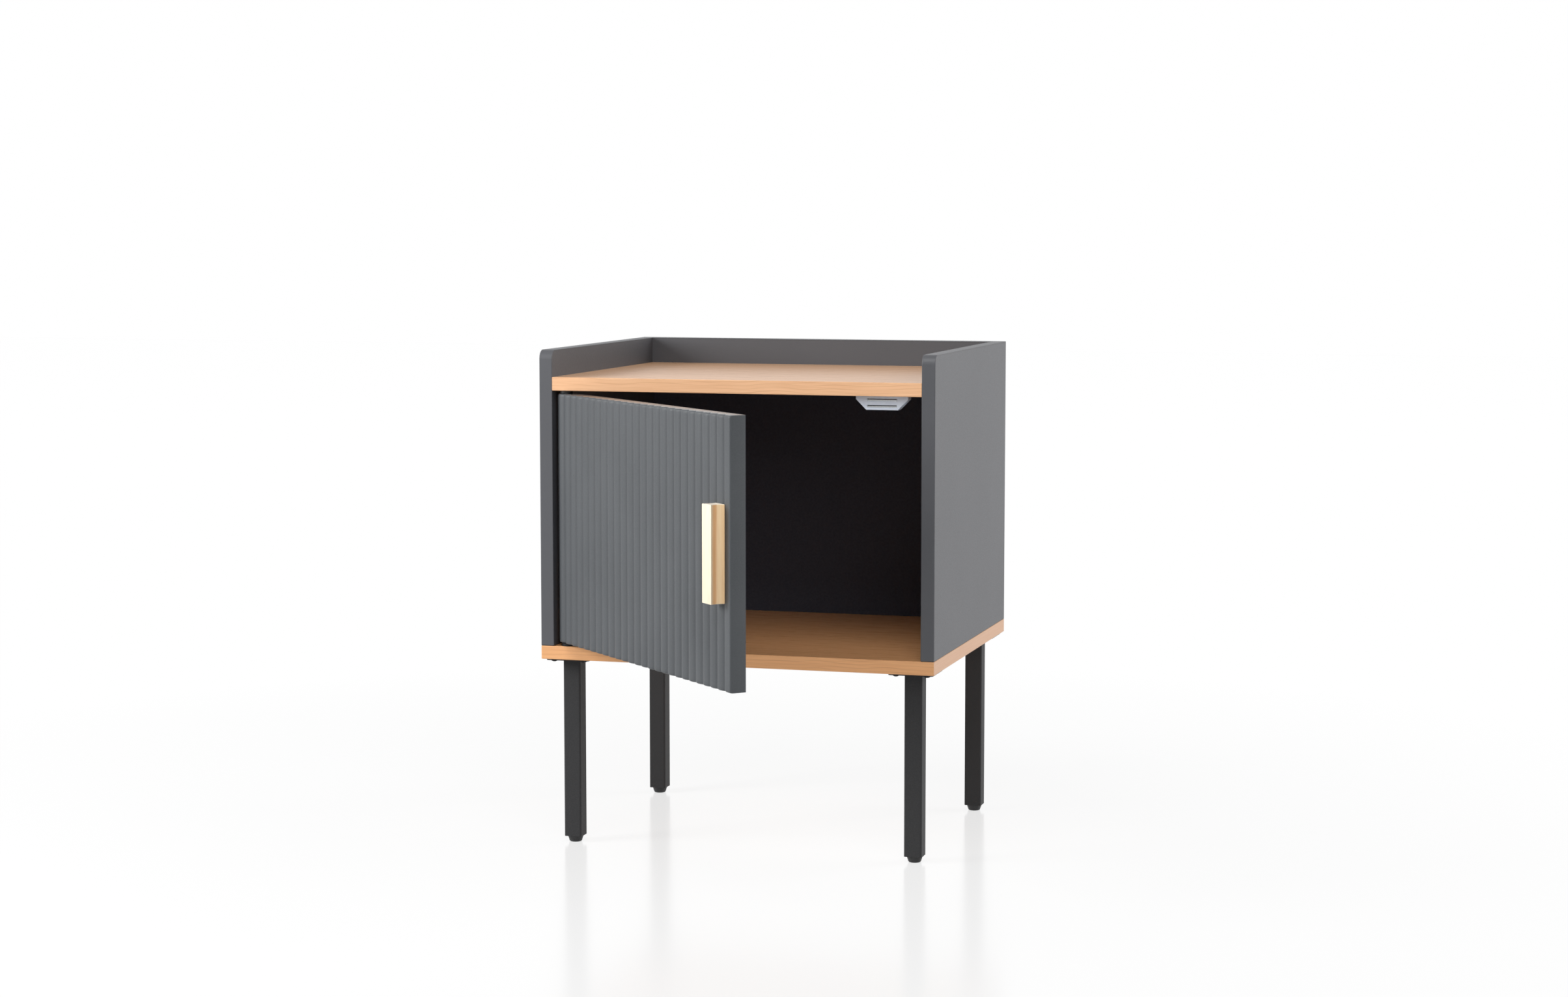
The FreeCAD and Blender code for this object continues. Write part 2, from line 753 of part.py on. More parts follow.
down, up = V(0, 0, -1), V(0, 0, 1)
right_panel = side_panel()
pieces = {
    "side_panel_left": mirrored(right_panel),
    "side_panel_right": right_panel,
    "bottom_board": bottom_board(),
    "top_board": top_board(),
    "back_rail": back_rail(),
    "back_panel": back_panel(),
    "confirmat_screws": group(both_sides(confirmat_screws)),
    "floor_dowels": group(both_sides(floor_dowels)),
    "top_dowels": group(both_sides(top_dowels)),
    "rail_dowels": group(both_sides(rail_dowels)),
    "cam_bolts": group(both_sides(cam_bolts)),
    "cam_locks": group(both_sides(cam_locks)),
    "rail_screws": group(rail_screws()),
    "pivot_bush_upper": pivot_bush(ceiling_level, up),
    "pivot_bush_lower": pivot_bush(floor_level, down),
    "catch_housing": catch_housing(),
    "catch_pole_plates": group(pole_plates()),
    "catch_magnet": catch_magnet(),
    "catch_screws": group(catch_screws()),
    "door_panel": swung(door_panel()),
    "pivot_pin_upper": swung(pivot_pin(ceiling_level, up)),
    "pivot_pin_lower": swung(pivot_pin(floor_level, down)),
    "door_handle": swung(door_handle()),
    "handle_inserts": swung(group(handle_inserts())),
    "handle_screws": swung(group(handle_screws())),
    "strike_plate": swung(strike_plate()),
    "strike_screws": swung(group(strike_screws())),
    "leg_screws": group(leg_screws()),
}
for name, (leg_centre_x, leg_centre_y) in legs.items():
    pieces["leg_tube_" + name] = leg_tube(leg_centre_x, leg_centre_y)
    pieces["leg_plate_" + name] = leg_plate(name)
    pieces["foot_glide_" + name] = foot_glide(leg_centre_x, leg_centre_y)

os.makedirs("parts", exist_ok=True)
for name, shape in pieces.items():
    shape.exportStep("parts/" + name + ".step")
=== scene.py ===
import json
import math
import bmesh
import bpy
from mathutils import Matrix, Vector


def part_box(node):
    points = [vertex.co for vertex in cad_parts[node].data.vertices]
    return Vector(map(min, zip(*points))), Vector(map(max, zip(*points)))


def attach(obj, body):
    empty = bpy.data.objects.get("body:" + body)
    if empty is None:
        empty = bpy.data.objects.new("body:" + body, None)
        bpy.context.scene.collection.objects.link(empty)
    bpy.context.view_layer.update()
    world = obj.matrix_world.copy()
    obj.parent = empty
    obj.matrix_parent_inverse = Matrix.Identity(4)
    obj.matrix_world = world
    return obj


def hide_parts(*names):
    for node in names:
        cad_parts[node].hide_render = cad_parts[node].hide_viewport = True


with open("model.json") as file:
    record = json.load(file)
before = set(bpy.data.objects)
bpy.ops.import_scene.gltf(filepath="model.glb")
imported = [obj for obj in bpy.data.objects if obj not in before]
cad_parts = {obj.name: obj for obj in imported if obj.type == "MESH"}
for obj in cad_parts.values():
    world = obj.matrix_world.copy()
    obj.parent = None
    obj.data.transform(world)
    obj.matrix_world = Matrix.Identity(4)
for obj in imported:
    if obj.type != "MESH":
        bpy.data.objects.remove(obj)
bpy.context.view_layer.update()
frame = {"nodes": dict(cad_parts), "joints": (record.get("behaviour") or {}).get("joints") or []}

# ---- Top and bottom boards -------------------------------------------------
# Two 15 mm particle boards faced with beech-look melamine paper and edged with a
# strip of the same print. The bottom one carries the whole cabinet on its upper
# face, and the top one is held between the side panels by cams and dowels.


def linear(code):
    """An sRGB colour written as #RRGGBB, as the linear RGBA that a shader takes."""
    channels = [int(code[i:i + 2], 16) / 255 for i in (1, 3, 5)]
    return [c / 12.92 if c <= 0.04045 else ((c + 0.055) / 1.055) ** 2.4 for c in channels] + [1.0]


def add(tree, kind, inputs=None, stops=(), **settings):
    """Adds a node with its settings, a value or a link for each of its inputs, and a Color
    Ramp's stops, each a position and an sRGB colour. A colour Mix has its factor, A and B at
    inputs 0, 6 and 7 and its result at output 2. A Map Range has its value at input 0, the
    range it comes from at 1 and 2, and the range it goes to at 3 and 4."""
    node = tree.nodes.new(kind)
    for name, value in settings.items():
        setattr(node, name, value)
    for _ in stops[2:]:
        node.color_ramp.elements.new(1.0)
    for number, (position, code) in enumerate(stops):
        node.color_ramp.elements[number].position = position
        node.color_ramp.elements[number].color = linear(code)
    for key, value in (inputs or {}).items():
        if isinstance(value, bpy.types.NodeSocket):
            tree.links.new(value, node.inputs[key])
        else:
            node.inputs[key].default_value = value
    return node


def new_material(name):
    """An empty material with its tree and its one shader."""
    material = bpy.data.materials.new(name)
    material.use_nodes = True
    tree = material.node_tree
    return material, tree, tree.nodes["Principled BSDF"]


def finish_nodes(material, *names):
    """Gives CAD nodes their finish."""
    for name in names:
        node = frame["nodes"][name]
        node.data.materials.clear()
        node.data.materials.append(material)


def beech_melamine(name, light, dark):
    """Melamine paper printed with beech grain: a satin sheen over warm tan, drawn out in fine
    streaks, with thin, wavy brown lines. The lines lie about 4 mm apart on a front edge and
    12 mm on a face, where they are fainter, and they all but fade on the ends."""
    line_pitch = 0.0040
    face_share = 0.33                       # on a face they lie three times as far apart
    sway_scale = (15.0, 6.0, 9.0)           # a line bends about once in 65 mm
    sway_lines = 3.2                        # and strays by up to about three lines
    patch_scale = (11.0, 90.0, 260.0)       # lines come and go every 90 mm or so
    streak_scale = (22.0, 900.0, 900.0)     # streaks 1.1 mm thick and 45 mm long
    smoothest, dullest = 0.44, 0.54
    pressed_face = 0.6                      # a face is this much as rough as an edge strip
    pore_height = 0.0002
    material, tree, shader = new_material(name)
    place = add(tree, "ShaderNodeTexCoord").outputs
    facing = add(tree, "ShaderNodeSeparateXYZ", {0: place["Normal"]}).outputs
    sideways = add(tree, "ShaderNodeMath", {0: facing[0]}, operation="ABSOLUTE").outputs[0]
    on_end = add(tree, "ShaderNodeMath", {0: sideways, 1: 0.7},
                 operation="GREATER_THAN").outputs[0]
    at = add(tree, "ShaderNodeSeparateXYZ", {0: place["Object"]}).outputs
    turned = add(tree, "ShaderNodeCombineXYZ", {0: at[1], 1: at[0], 2: at[2]}).outputs[0]
    along = add(tree, "ShaderNodeMix", {0: on_end, 4: place["Object"], 5: turned},
                data_type="VECTOR").outputs[1]
    long = add(tree, "ShaderNodeVectorMath", {0: along, 1: sway_scale},
               operation="MULTIPLY").outputs[0]
    sway = add(tree, "ShaderNodeTexNoise",
               {"Vector": long, "Scale": 1.0, "Detail": 1.0}).outputs[0]
    grain_at = add(tree, "ShaderNodeSeparateXYZ", {0: along}).outputs
    across = add(tree, "ShaderNodeMath", {0: grain_at[1], 1: face_share, 2: grain_at[2]},
                 operation="MULTIPLY_ADD").outputs[0]
    layers = add(tree, "ShaderNodeMath", {0: across, 1: line_pitch}, operation="DIVIDE").outputs[0]
    swayed = add(tree, "ShaderNodeMath", {0: sway, 1: sway_lines, 2: layers},
                 operation="MULTIPLY_ADD").outputs[0]
    ring = add(tree, "ShaderNodeMath", {0: swayed}, operation="FRACT").outputs[0]
    line = add(tree, "ShaderNodeValToRGB", {0: ring},
               stops=((0.0, "#404040"), (0.10, "#000000"), (0.74, "#202020"), (0.94, "#ffffff"),
                      (1.0, "#404040"))).outputs[0]
    patch_at = add(tree, "ShaderNodeVectorMath", {0: along, 1: patch_scale},
                   operation="MULTIPLY").outputs[0]
    patches = add(tree, "ShaderNodeTexNoise",
                  {"Vector": patch_at, "Scale": 1.0, "Detail": 1.0}).outputs[0]
    patchy = add(tree, "ShaderNodeMapRange",
                 {0: patches, 1: 0.35, 2: 0.65, 3: 0.10, 4: 0.62}).outputs[0]
    fade = add(tree, "ShaderNodeMapRange", {0: on_end, 3: 1.0, 4: 0.15}).outputs[0]
    drawn = add(tree, "ShaderNodeMath", {0: line, 1: patchy}, operation="MULTIPLY").outputs[0]
    edgewise = add(tree, "ShaderNodeMath", {0: drawn, 1: fade}, operation="MULTIPLY").outputs[0]
    upright = add(tree, "ShaderNodeMath", {0: facing[2]}, operation="ABSOLUTE").outputs[0]
    face_fade = add(tree, "ShaderNodeMapRange",
                    {0: upright, 1: 0.6, 2: 0.8, 3: 1.0, 4: 0.5}).outputs[0]
    strength = add(tree, "ShaderNodeMath", {0: edgewise, 1: face_fade},
                   operation="MULTIPLY").outputs[0]
    streak_at = add(tree, "ShaderNodeVectorMath", {0: along, 1: streak_scale},
                    operation="MULTIPLY").outputs[0]
    streaks = add(tree, "ShaderNodeTexNoise",
                  {"Vector": streak_at, "Scale": 1.0, "Detail": 2.0}).outputs[0]
    ground = add(tree, "ShaderNodeValToRGB", {0: streaks},
                 stops=((0.3, light), (0.7, dark))).outputs[0]
    plainer = add(tree, "ShaderNodeMath", {0: on_end, 1: 0.8}, operation="MULTIPLY").outputs[0]
    evened = add(tree, "ShaderNodeMix", {0: plainer, 6: ground, 7: linear("#d5af94")},
                 data_type="RGBA").outputs[2]
    lined = add(tree, "ShaderNodeMix", {0: strength, 6: evened, 7: linear("#b57d55")},
                data_type="RGBA").outputs[2]
    tree.links.new(lined, shader.inputs["Base Color"])
    gloss = add(tree, "ShaderNodeMapRange",
                {0: streaks, 1: 0.3, 2: 0.8, 3: smoothest, 4: dullest}).outputs[0]
    pressed = add(tree, "ShaderNodeMapRange",
                  {0: upright, 1: 0.6, 2: 0.8, 3: 1.0, 4: pressed_face}).outputs[0]
    smoother = add(tree, "ShaderNodeMath", {0: gloss, 1: pressed}, operation="MULTIPLY").outputs[0]
    tree.links.new(smoother, shader.inputs["Roughness"])
    relief = add(tree, "ShaderNodeBump",
                 {"Height": streaks, "Strength": 0.10, "Distance": pore_height})
    tree.links.new(relief.outputs[0], shader.inputs["Normal"])
    shader.inputs["Specular IOR Level"].default_value = 0.36
    return material


top_sheet = beech_melamine("beech-look melamine", "#e8b990", "#dcab82")
# The bottom board's copy of the same print is darker and more orange: painted shade, since less
# light falls that low.
shaded_bottom_sheet = beech_melamine("beech-look melamine, painted shade copy", "#e4ac79", "#d99f6d")
finish_nodes(top_sheet, "top_board")
finish_nodes(shaded_bottom_sheet, "bottom_board")

# ---- Side panels and back rail -----------------------------------------------
# Particle board again, faced with plain charcoal melamine. The two side panels
# stand on the bottom board, and the rail closes the tray behind the top board. A
# 1 mm plastic strip runs round the front and upper edges, glued along a fine seam.

panel_low, panel_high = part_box("side_panel_right")
panel_corner = 0.010
edging = 0.0010
seam_width = 0.00035
# Painted shade: a dark band at the panel's foot stands for the shadow where it meets the bottom
# board.
joint_shade_band = 0.0008     # dark line along the cut edge that stands on the bottom board


def charcoal_melamine():
    """Charcoal melamine with a fine pearl emboss, which breaks its sheen into a soft grey
    veil. The emboss is 0.3 mm in life and drawn at about 1 mm so that it shows. The edge
    strip's glue seam is drawn as a dark line, and the same dark line at the panel's foot
    is painted shade where it stands on the bottom board."""
    cloud_scale = 9.0           # very faint clouds of 110 mm
    pearl_scale = 950.0         # 1.05 mm a grain
    pearl_height = 0.0002
    smoothest, dullest = 0.42, 0.52
    material, tree, shader = new_material("charcoal melamine")
    place = add(tree, "ShaderNodeTexCoord").outputs["Object"]
    at = add(tree, "ShaderNodeSeparateXYZ", {0: place}).outputs
    ahead = add(tree, "ShaderNodeMath", {0: panel_low.y + panel_corner, 1: at[1]},
                operation="SUBTRACT", use_clamp=True).outputs[0]
    above = add(tree, "ShaderNodeMath", {0: at[2], 1: panel_high.z - panel_corner},
                operation="SUBTRACT", use_clamp=True).outputs[0]
    corner = add(tree, "ShaderNodeCombineXYZ", {0: ahead, 1: above}).outputs[0]
    outward = add(tree, "ShaderNodeVectorMath", {0: corner}, operation="LENGTH").outputs["Value"]
    seam = add(tree, "ShaderNodeMath", {0: outward, 1: panel_corner - edging, 2: seam_width / 2},
               operation="COMPARE").outputs[0]
    cloud = add(tree, "ShaderNodeTexNoise",
                {"Vector": place, "Scale": cloud_scale, "Detail": 3.0}).outputs[0]
    ground = add(tree, "ShaderNodeValToRGB", {0: cloud},
                 stops=((0.3, "#47484c"), (0.7, "#4a4b4f"))).outputs[0]
    # Painted shade: a dark band along the panel's foot, where it stands on the bottom board. The
    # glue seam is a real dark joint.
    joint = add(tree, "ShaderNodeMath", {0: at[2], 1: panel_low.z, 2: joint_shade_band},
                operation="COMPARE").outputs[0]
    seam_and_joint_shade = add(tree, "ShaderNodeMath", {0: seam, 1: joint}, operation="MAXIMUM").outputs[0]
    seamed_and_shaded = add(tree, "ShaderNodeMix", {0: seam_and_joint_shade, 6: ground, 7: linear("#2a2827")},
                 data_type="RGBA").outputs[2]
    tree.links.new(seamed_and_shaded, shader.inputs["Base Color"])
    pearl = add(tree, "ShaderNodeTexNoise",
                {"Vector": place, "Scale": pearl_scale, "Detail": 2.0}).outputs[0]
    gloss = add(tree, "ShaderNodeMapRange",
                {0: pearl, 1: 0.3, 2: 0.7, 3: smoothest, 4: dullest}).outputs[0]
    tree.links.new(gloss, shader.inputs["Roughness"])
    relief = add(tree, "ShaderNodeBump",
                 {"Height": pearl, "Strength": 0.25, "Distance": pearl_height})
    tree.links.new(relief.outputs[0], shader.inputs["Normal"])
    shader.inputs["IOR"].default_value = 1.5
    return material


finish_nodes(charcoal_melamine(), "side_panel_left", "side_panel_right", "back_rail")

# ---- Back panel ----------------------------------------------------------------
# A 3 mm hardboard, painted matt black on both faces. It slides into grooves in the side
# panels, the bottom board and the rail, and keeps the cabinet square.


def black_hardboard():
    """Pressed wood fibre under thin matt paint: black, drawn as a dark bluish grey whose lift
    above black is painted light for the light inside the cabinet, with the faint mottle of
    its matted fibres, whose bundles are about 2.4 mm across."""
    mottle_scale = 420.0
    fibre_height = 0.0002
    material, tree, shader = new_material("black hardboard")
    place = add(tree, "ShaderNodeTexCoord").outputs["Object"]
    fibres = add(tree, "ShaderNodeTexNoise",
                 {"Vector": place, "Scale": mottle_scale, "Detail": 4.0}).outputs[0]
    # Painted light: these greys are lighter than black paint, for the light inside the cabinet.
    ground = add(tree, "ShaderNodeValToRGB", {0: fibres},
                 stops=((0.3, "#3b3d48"), (0.7, "#444651"))).outputs[0]
    tree.links.new(ground, shader.inputs["Base Color"])
    relief = add(tree, "ShaderNodeBump",
                 {"Height": fibres, "Strength": 0.3, "Distance": fibre_height})
    tree.links.new(relief.outputs[0], shader.inputs["Normal"])
    shader.inputs["Roughness"].default_value = 0.75
    shader.inputs["Specular IOR Level"].default_value = 0.25
    return material


finish_nodes(black_hardboard(), "back_panel")

# ---- Dowels -----------------------------------------------------------------------
# Pegs turned from beech, 8 mm thick and left bare. They are glued into bores in the
# boards that meet, so that none of them shows.


def bare_beech():
    """Turned beech with no finish: pale and dry, with the grain's flecks of about 1.4 mm."""
    fleck_scale = 700.0
    material, tree, shader = new_material("bare beech")
    place = add(tree, "ShaderNodeTexCoord").outputs["Object"]
    flecks = add(tree, "ShaderNodeTexNoise",
                 {"Vector": place, "Scale": fleck_scale, "Detail": 2.0}).outputs[0]
    ground = add(tree, "ShaderNodeValToRGB", {0: flecks},
                 stops=((0.35, "#d8b68c"), (0.65, "#c49c70"))).outputs[0]
    tree.links.new(ground, shader.inputs["Base Color"])
    shader.inputs["Roughness"].default_value = 0.7
    return material


finish_nodes(bare_beech(), "floor_dowels", "top_dowels", "rail_dowels")

# ---- Bright fixings -------------------------------------------------------------------
# Steel bolts and pins with a bright zinc plating, and cams cast in zinc. They join the
# boards, carry the door and hold the catch.


def zinc_plate():
    """Zinc plating on steel: a pale metal whose haze blurs what it mirrors. The crystals of
    the plating are far finer in life and drawn at about 1.1 mm."""
    haze_scale = 900.0
    smoothest, dullest = 0.28, 0.42
    material, tree, shader = new_material("zinc-plated steel")
    place = add(tree, "ShaderNodeTexCoord").outputs["Object"]
    haze = add(tree, "ShaderNodeTexNoise",
               {"Vector": place, "Scale": haze_scale, "Detail": 3.0}).outputs[0]
    ground = add(tree, "ShaderNodeValToRGB", {0: haze},
                 stops=((0.3, "#b4b6b8"), (0.7, "#cdd0d2"))).outputs[0]
    tree.links.new(ground, shader.inputs["Base Color"])
    gloss = add(tree, "ShaderNodeMapRange",
                {0: haze, 1: 0.3, 2: 0.7, 3: smoothest, 4: dullest}).outputs[0]
    tree.links.new(gloss, shader.inputs["Roughness"])
    shader.inputs["Metallic"].default_value = 1.0
    return material


zinc = zinc_plate()
finish_nodes(zinc, "cam_bolts", "cam_locks", "pivot_pin_upper", "pivot_pin_lower")

# ---- Screws -------------------------------------------------------------------------------
# Cross-headed screws, raised or countersunk, cold-formed from steel wire. Each node's
# screws share one mesh of a head with its cross recess, set at every screw's place.

recess_arm = 0.18       # width of the cross's arms, as a share of the head's width
recess_reach = 0.56     # length of the cross's arms, as a share of the head's width
recess_depth = 0.6      # depth of the cross, as a share of the head's height
recess_taper = 0.55     # width at the bottom of the cross, as a share of that at its mouth
dome = ((0.0, 1.0), (0.45, 0.94), (0.8, 0.66), (1.0, 0.2), (1.0, 0.0))


def black_zinc():
    """Black-passivated steel: near black, with a thin oily gloss. Its haze is drawn at about
    0.9 mm, coarser than in life."""
    haze_scale = 1100.0
    material, tree, shader = new_material("black-passivated steel")
    place = add(tree, "ShaderNodeTexCoord").outputs["Object"]
    haze = add(tree, "ShaderNodeTexNoise",
               {"Vector": place, "Scale": haze_scale, "Detail": 2.0}).outputs[0]
    ground = add(tree, "ShaderNodeValToRGB", {0: haze},
                 stops=((0.3, "#232324"), (0.7, "#323234"))).outputs[0]
    tree.links.new(ground, shader.inputs["Base Color"])
    shader.inputs["Metallic"].default_value = 1.0
    shader.inputs["Roughness"].default_value = 0.4
    return material


def lathe(outline, steps=24):
    """A bmesh turned about Z from (radius, height) points that start and end on the axis."""
    mesh = bmesh.new()
    rows = []
    for radius, height in outline:
        if radius == 0:
            rows.append([mesh.verts.new((0, 0, height))])
            continue
        angles = [2 * math.pi * i / steps for i in range(steps)]
        circle = [(radius * math.cos(a), radius * math.sin(a), height) for a in angles]
        rows.append([mesh.verts.new(point) for point in circle])
    for low, high in zip(rows, rows[1:]):
        for i in range(steps):
            j = (i + 1) % steps
            corners = [low[i % len(low)], low[j % len(low)],
                       high[j % len(high)], high[i % len(high)]]
            mesh.faces.new(list(dict.fromkeys(corners)))
    bmesh.ops.recalc_face_normals(mesh, faces=mesh.faces)
    return mesh


def as_object(name, mesh):
    """A bmesh as an object of the scene."""
    data = bpy.data.meshes.new(name)
    mesh.to_mesh(data)
    mesh.free()
    thing = bpy.data.objects.new(name, data)
    bpy.context.scene.collection.objects.link(thing)
    return thing


def settled(thing):
    """The object with its modifiers applied to its mesh."""
    evaluated = thing.evaluated_get(bpy.context.evaluated_depsgraph_get())
    data = bpy.data.meshes.new_from_object(evaluated)
    thing.modifiers.clear()
    thing.data = data
    return thing


def screw_blank(head_diameter, head_height, shank_diameter, length, raised):
    """One screw along Z, its shank upwards and its head's seat or flush face at zero. A
    raised head follows the dome, whose points are shares of its radius and its height."""
    head = head_diameter / 2
    shank = shank_diameter / 2
    if raised:
        outline = [(head * out, -head_height * up) for out, up in dome] + [(shank, 0)]
        face = -head_height
    else:
        outline = [(0, 0), (head, 0), (shank, head - shank)]
        face = 0.0
    outline += [(shank, length - shank), (0, length)]
    screw = as_object("screw", lathe(outline))
    arm = head_diameter * recess_arm / 2
    reach = head_diameter * recess_reach / 2
    cross = bmesh.new()
    for half in ((arm, reach), (reach, arm)):
        box = bmesh.ops.create_cube(cross, size=2.0)["verts"]
        for vertex in box:
            taper = 1.0 if vertex.co.z < 0 else recess_taper
            vertex.co = Vector((vertex.co.x * half[0] * taper, vertex.co.y * half[1] * taper,
                                face + vertex.co.z * head_height * recess_depth))
    tool = as_object("cross", cross)
    cut = screw.modifiers.new("cross", "BOOLEAN")
    cut.operation = "DIFFERENCE"
    cut.use_self = True
    cut.object = tool
    settled(screw)
    bpy.data.objects.remove(tool)
    return screw


def screw_tree(finish):
    """A Geometry Nodes tree that sets a screw at each point of its mesh, turned about its
    own length by a random angle that comes from a fixed seed."""
    tree = bpy.data.node_groups.new("screws in place", "GeometryNodeTree")
    tree.interface.new_socket("Places", in_out="INPUT", socket_type="NodeSocketGeometry")
    tree.interface.new_socket("Screw", in_out="INPUT", socket_type="NodeSocketObject")
    tree.interface.new_socket("Direction", in_out="INPUT", socket_type="NodeSocketVector")
    tree.interface.new_socket("Screws", in_out="OUTPUT", socket_type="NodeSocketGeometry")
    given = add(tree, "NodeGroupInput").outputs
    screw = add(tree, "GeometryNodeObjectInfo", {"Object": given["Screw"]}).outputs["Geometry"]
    aimed = add(tree, "FunctionNodeAlignRotationToVector",
                {"Vector": given["Direction"]}, axis="Z")
    twist = add(tree, "FunctionNodeRandomValue",
                {"Min": (0, 0, 0), "Max": (0, 0, math.tau), "Seed": 7},
                data_type="FLOAT_VECTOR").outputs["Value"]
    turned = add(tree, "FunctionNodeRotateRotation", {0: aimed.outputs[0], 1: twist},
                 rotation_space="LOCAL").outputs[0]
    placed = add(tree, "GeometryNodeInstanceOnPoints",
                 {"Points": given["Places"], "Instance": screw, "Rotation": turned}).outputs[0]
    real = add(tree, "GeometryNodeRealizeInstances", {0: placed}).outputs[0]
    painted = add(tree, "GeometryNodeSetMaterial", {0: real, "Material": finish}).outputs[0]
    add(tree, "NodeGroupOutput", {0: painted})
    return tree


def grown(thing, tree, **sizes):
    """The object with its mesh made by a Geometry Nodes tree whose inputs take the sizes."""
    modifier = thing.modifiers.new("grow", "NODES")
    modifier.node_group = tree
    for item in tree.interface.items_tree:
        size = item.name.replace(" ", "_").lower()
        if item.in_out == "INPUT" and size in sizes:
            modifier[item.identifier] = sizes[size]
    return settled(thing)


def smooth(thing, degrees=35):
    """Shades the object smooth, but for its edges sharper than the angle."""
    thing.data.shade_smooth()
    thing.data.set_sharp_from_angle(angle=math.radians(degrees))
    return thing


def screws(name, node, body, finish, blank, direction, places):
    """Screws for one CAD node, each with its seat or flush face at its place."""
    points = bmesh.new()
    for place in places:
        points.verts.new(place)
    pattern = as_object(name, points)
    made = smooth(grown(pattern, screw_tree(finish), screw=blank, direction=direction))
    bpy.data.objects.remove(blank)
    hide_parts(node)
    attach(made, body)


board_low, board_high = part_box("bottom_board")
top_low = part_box("top_board")[0]
confirmat_low, confirmat_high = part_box("confirmat_screws")
confirmat_head = 0.010
confirmat_places = [
    (x, y, board_low.z)
    for x in (confirmat_low.x + confirmat_head / 2, confirmat_high.x - confirmat_head / 2)
    for y in (confirmat_low.y + confirmat_head / 2, confirmat_high.y - confirmat_head / 2)
]
screws("confirmat-screws", "confirmat_screws", "cabinet", zinc,
       screw_blank(confirmat_head, head_height=0.003, shank_diameter=0.007, length=0.050,
                   raised=False), (0, 0, 1), confirmat_places)

rail_low, rail_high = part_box("rail_screws")
rail_head = rail_high.z - rail_low.z
rail_places = [
    (x, rail_high.y, (rail_low.z + rail_high.z) / 2)
    for x in (rail_low.x + rail_head / 2, rail_high.x - rail_head / 2)
]
screws("rail-screws", "rail_screws", "cabinet", zinc,
       screw_blank(rail_head, head_height=0.0025, shank_diameter=0.004,
                   length=rail_high.y - rail_low.y, raised=False), (0, -1, 0), rail_places)

# ---- Door pivots ------------------------------------------------------------------------
# Black nylon bushes, pressed into the top and bottom boards. Each takes a steel pin of
# the door, and its flange keeps the door off the board.


def nylon():
    """Moulded nylon: black and waxy, with the faint cloud of its flow into the mould, in
    patches of about 3 mm."""
    flow_scale = 300.0
    material, tree, shader = new_material("black nylon")
    place = add(tree, "ShaderNodeTexCoord").outputs["Object"]
    flow = add(tree, "ShaderNodeTexNoise",
               {"Vector": place, "Scale": flow_scale, "Detail": 2.0}).outputs[0]
    ground = add(tree, "ShaderNodeValToRGB", {0: flow},
                 stops=((0.3, "#141415"), (0.7, "#1b1b1c"))).outputs[0]
    tree.links.new(ground, shader.inputs["Base Color"])
    shader.inputs["Roughness"].default_value = 0.5
    shader.inputs["Specular IOR Level"].default_value = 0.2
    return material


finish_nodes(nylon(), "pivot_bush_upper", "pivot_bush_lower")

# ---- Door -------------------------------------------------------------------------------
# An 18 mm fibreboard, its front milled into 26 upright reeds and the whole lacquered.
# It hangs on its two pins between the side panels, 3 mm from each of them.

hinge = Vector(frame["joints"][0]["pos_m"])
door_open = math.radians(45.0)      # how far the door stands open at rest
door_gap = 0.003
door_end_gap = 0.0035
door_thickness = 0.018
panel_thickness = panel_high.x - panel_low.x
door_left = board_low.x + panel_thickness + door_gap
door_width = -2 * door_left
door_low_z = board_high.z + door_end_gap
door_height = top_low.z - door_end_gap - door_low_z
door_front = board_low.y
reed_count = 26
reed_depth = 0.0027
reed_end = 0.0022       # radius by which the reeds run out at the top and the bottom
reed_steps = 14         # columns of faces across one reed
slab_rows = 41          # rows of points up the door
free_arris = 0.0020
sanded_arris = 0.0010
swing = (Matrix.Translation(hinge) @ Matrix.Rotation(-door_open, 4, "Z")
         @ Matrix.Translation(-hinge))


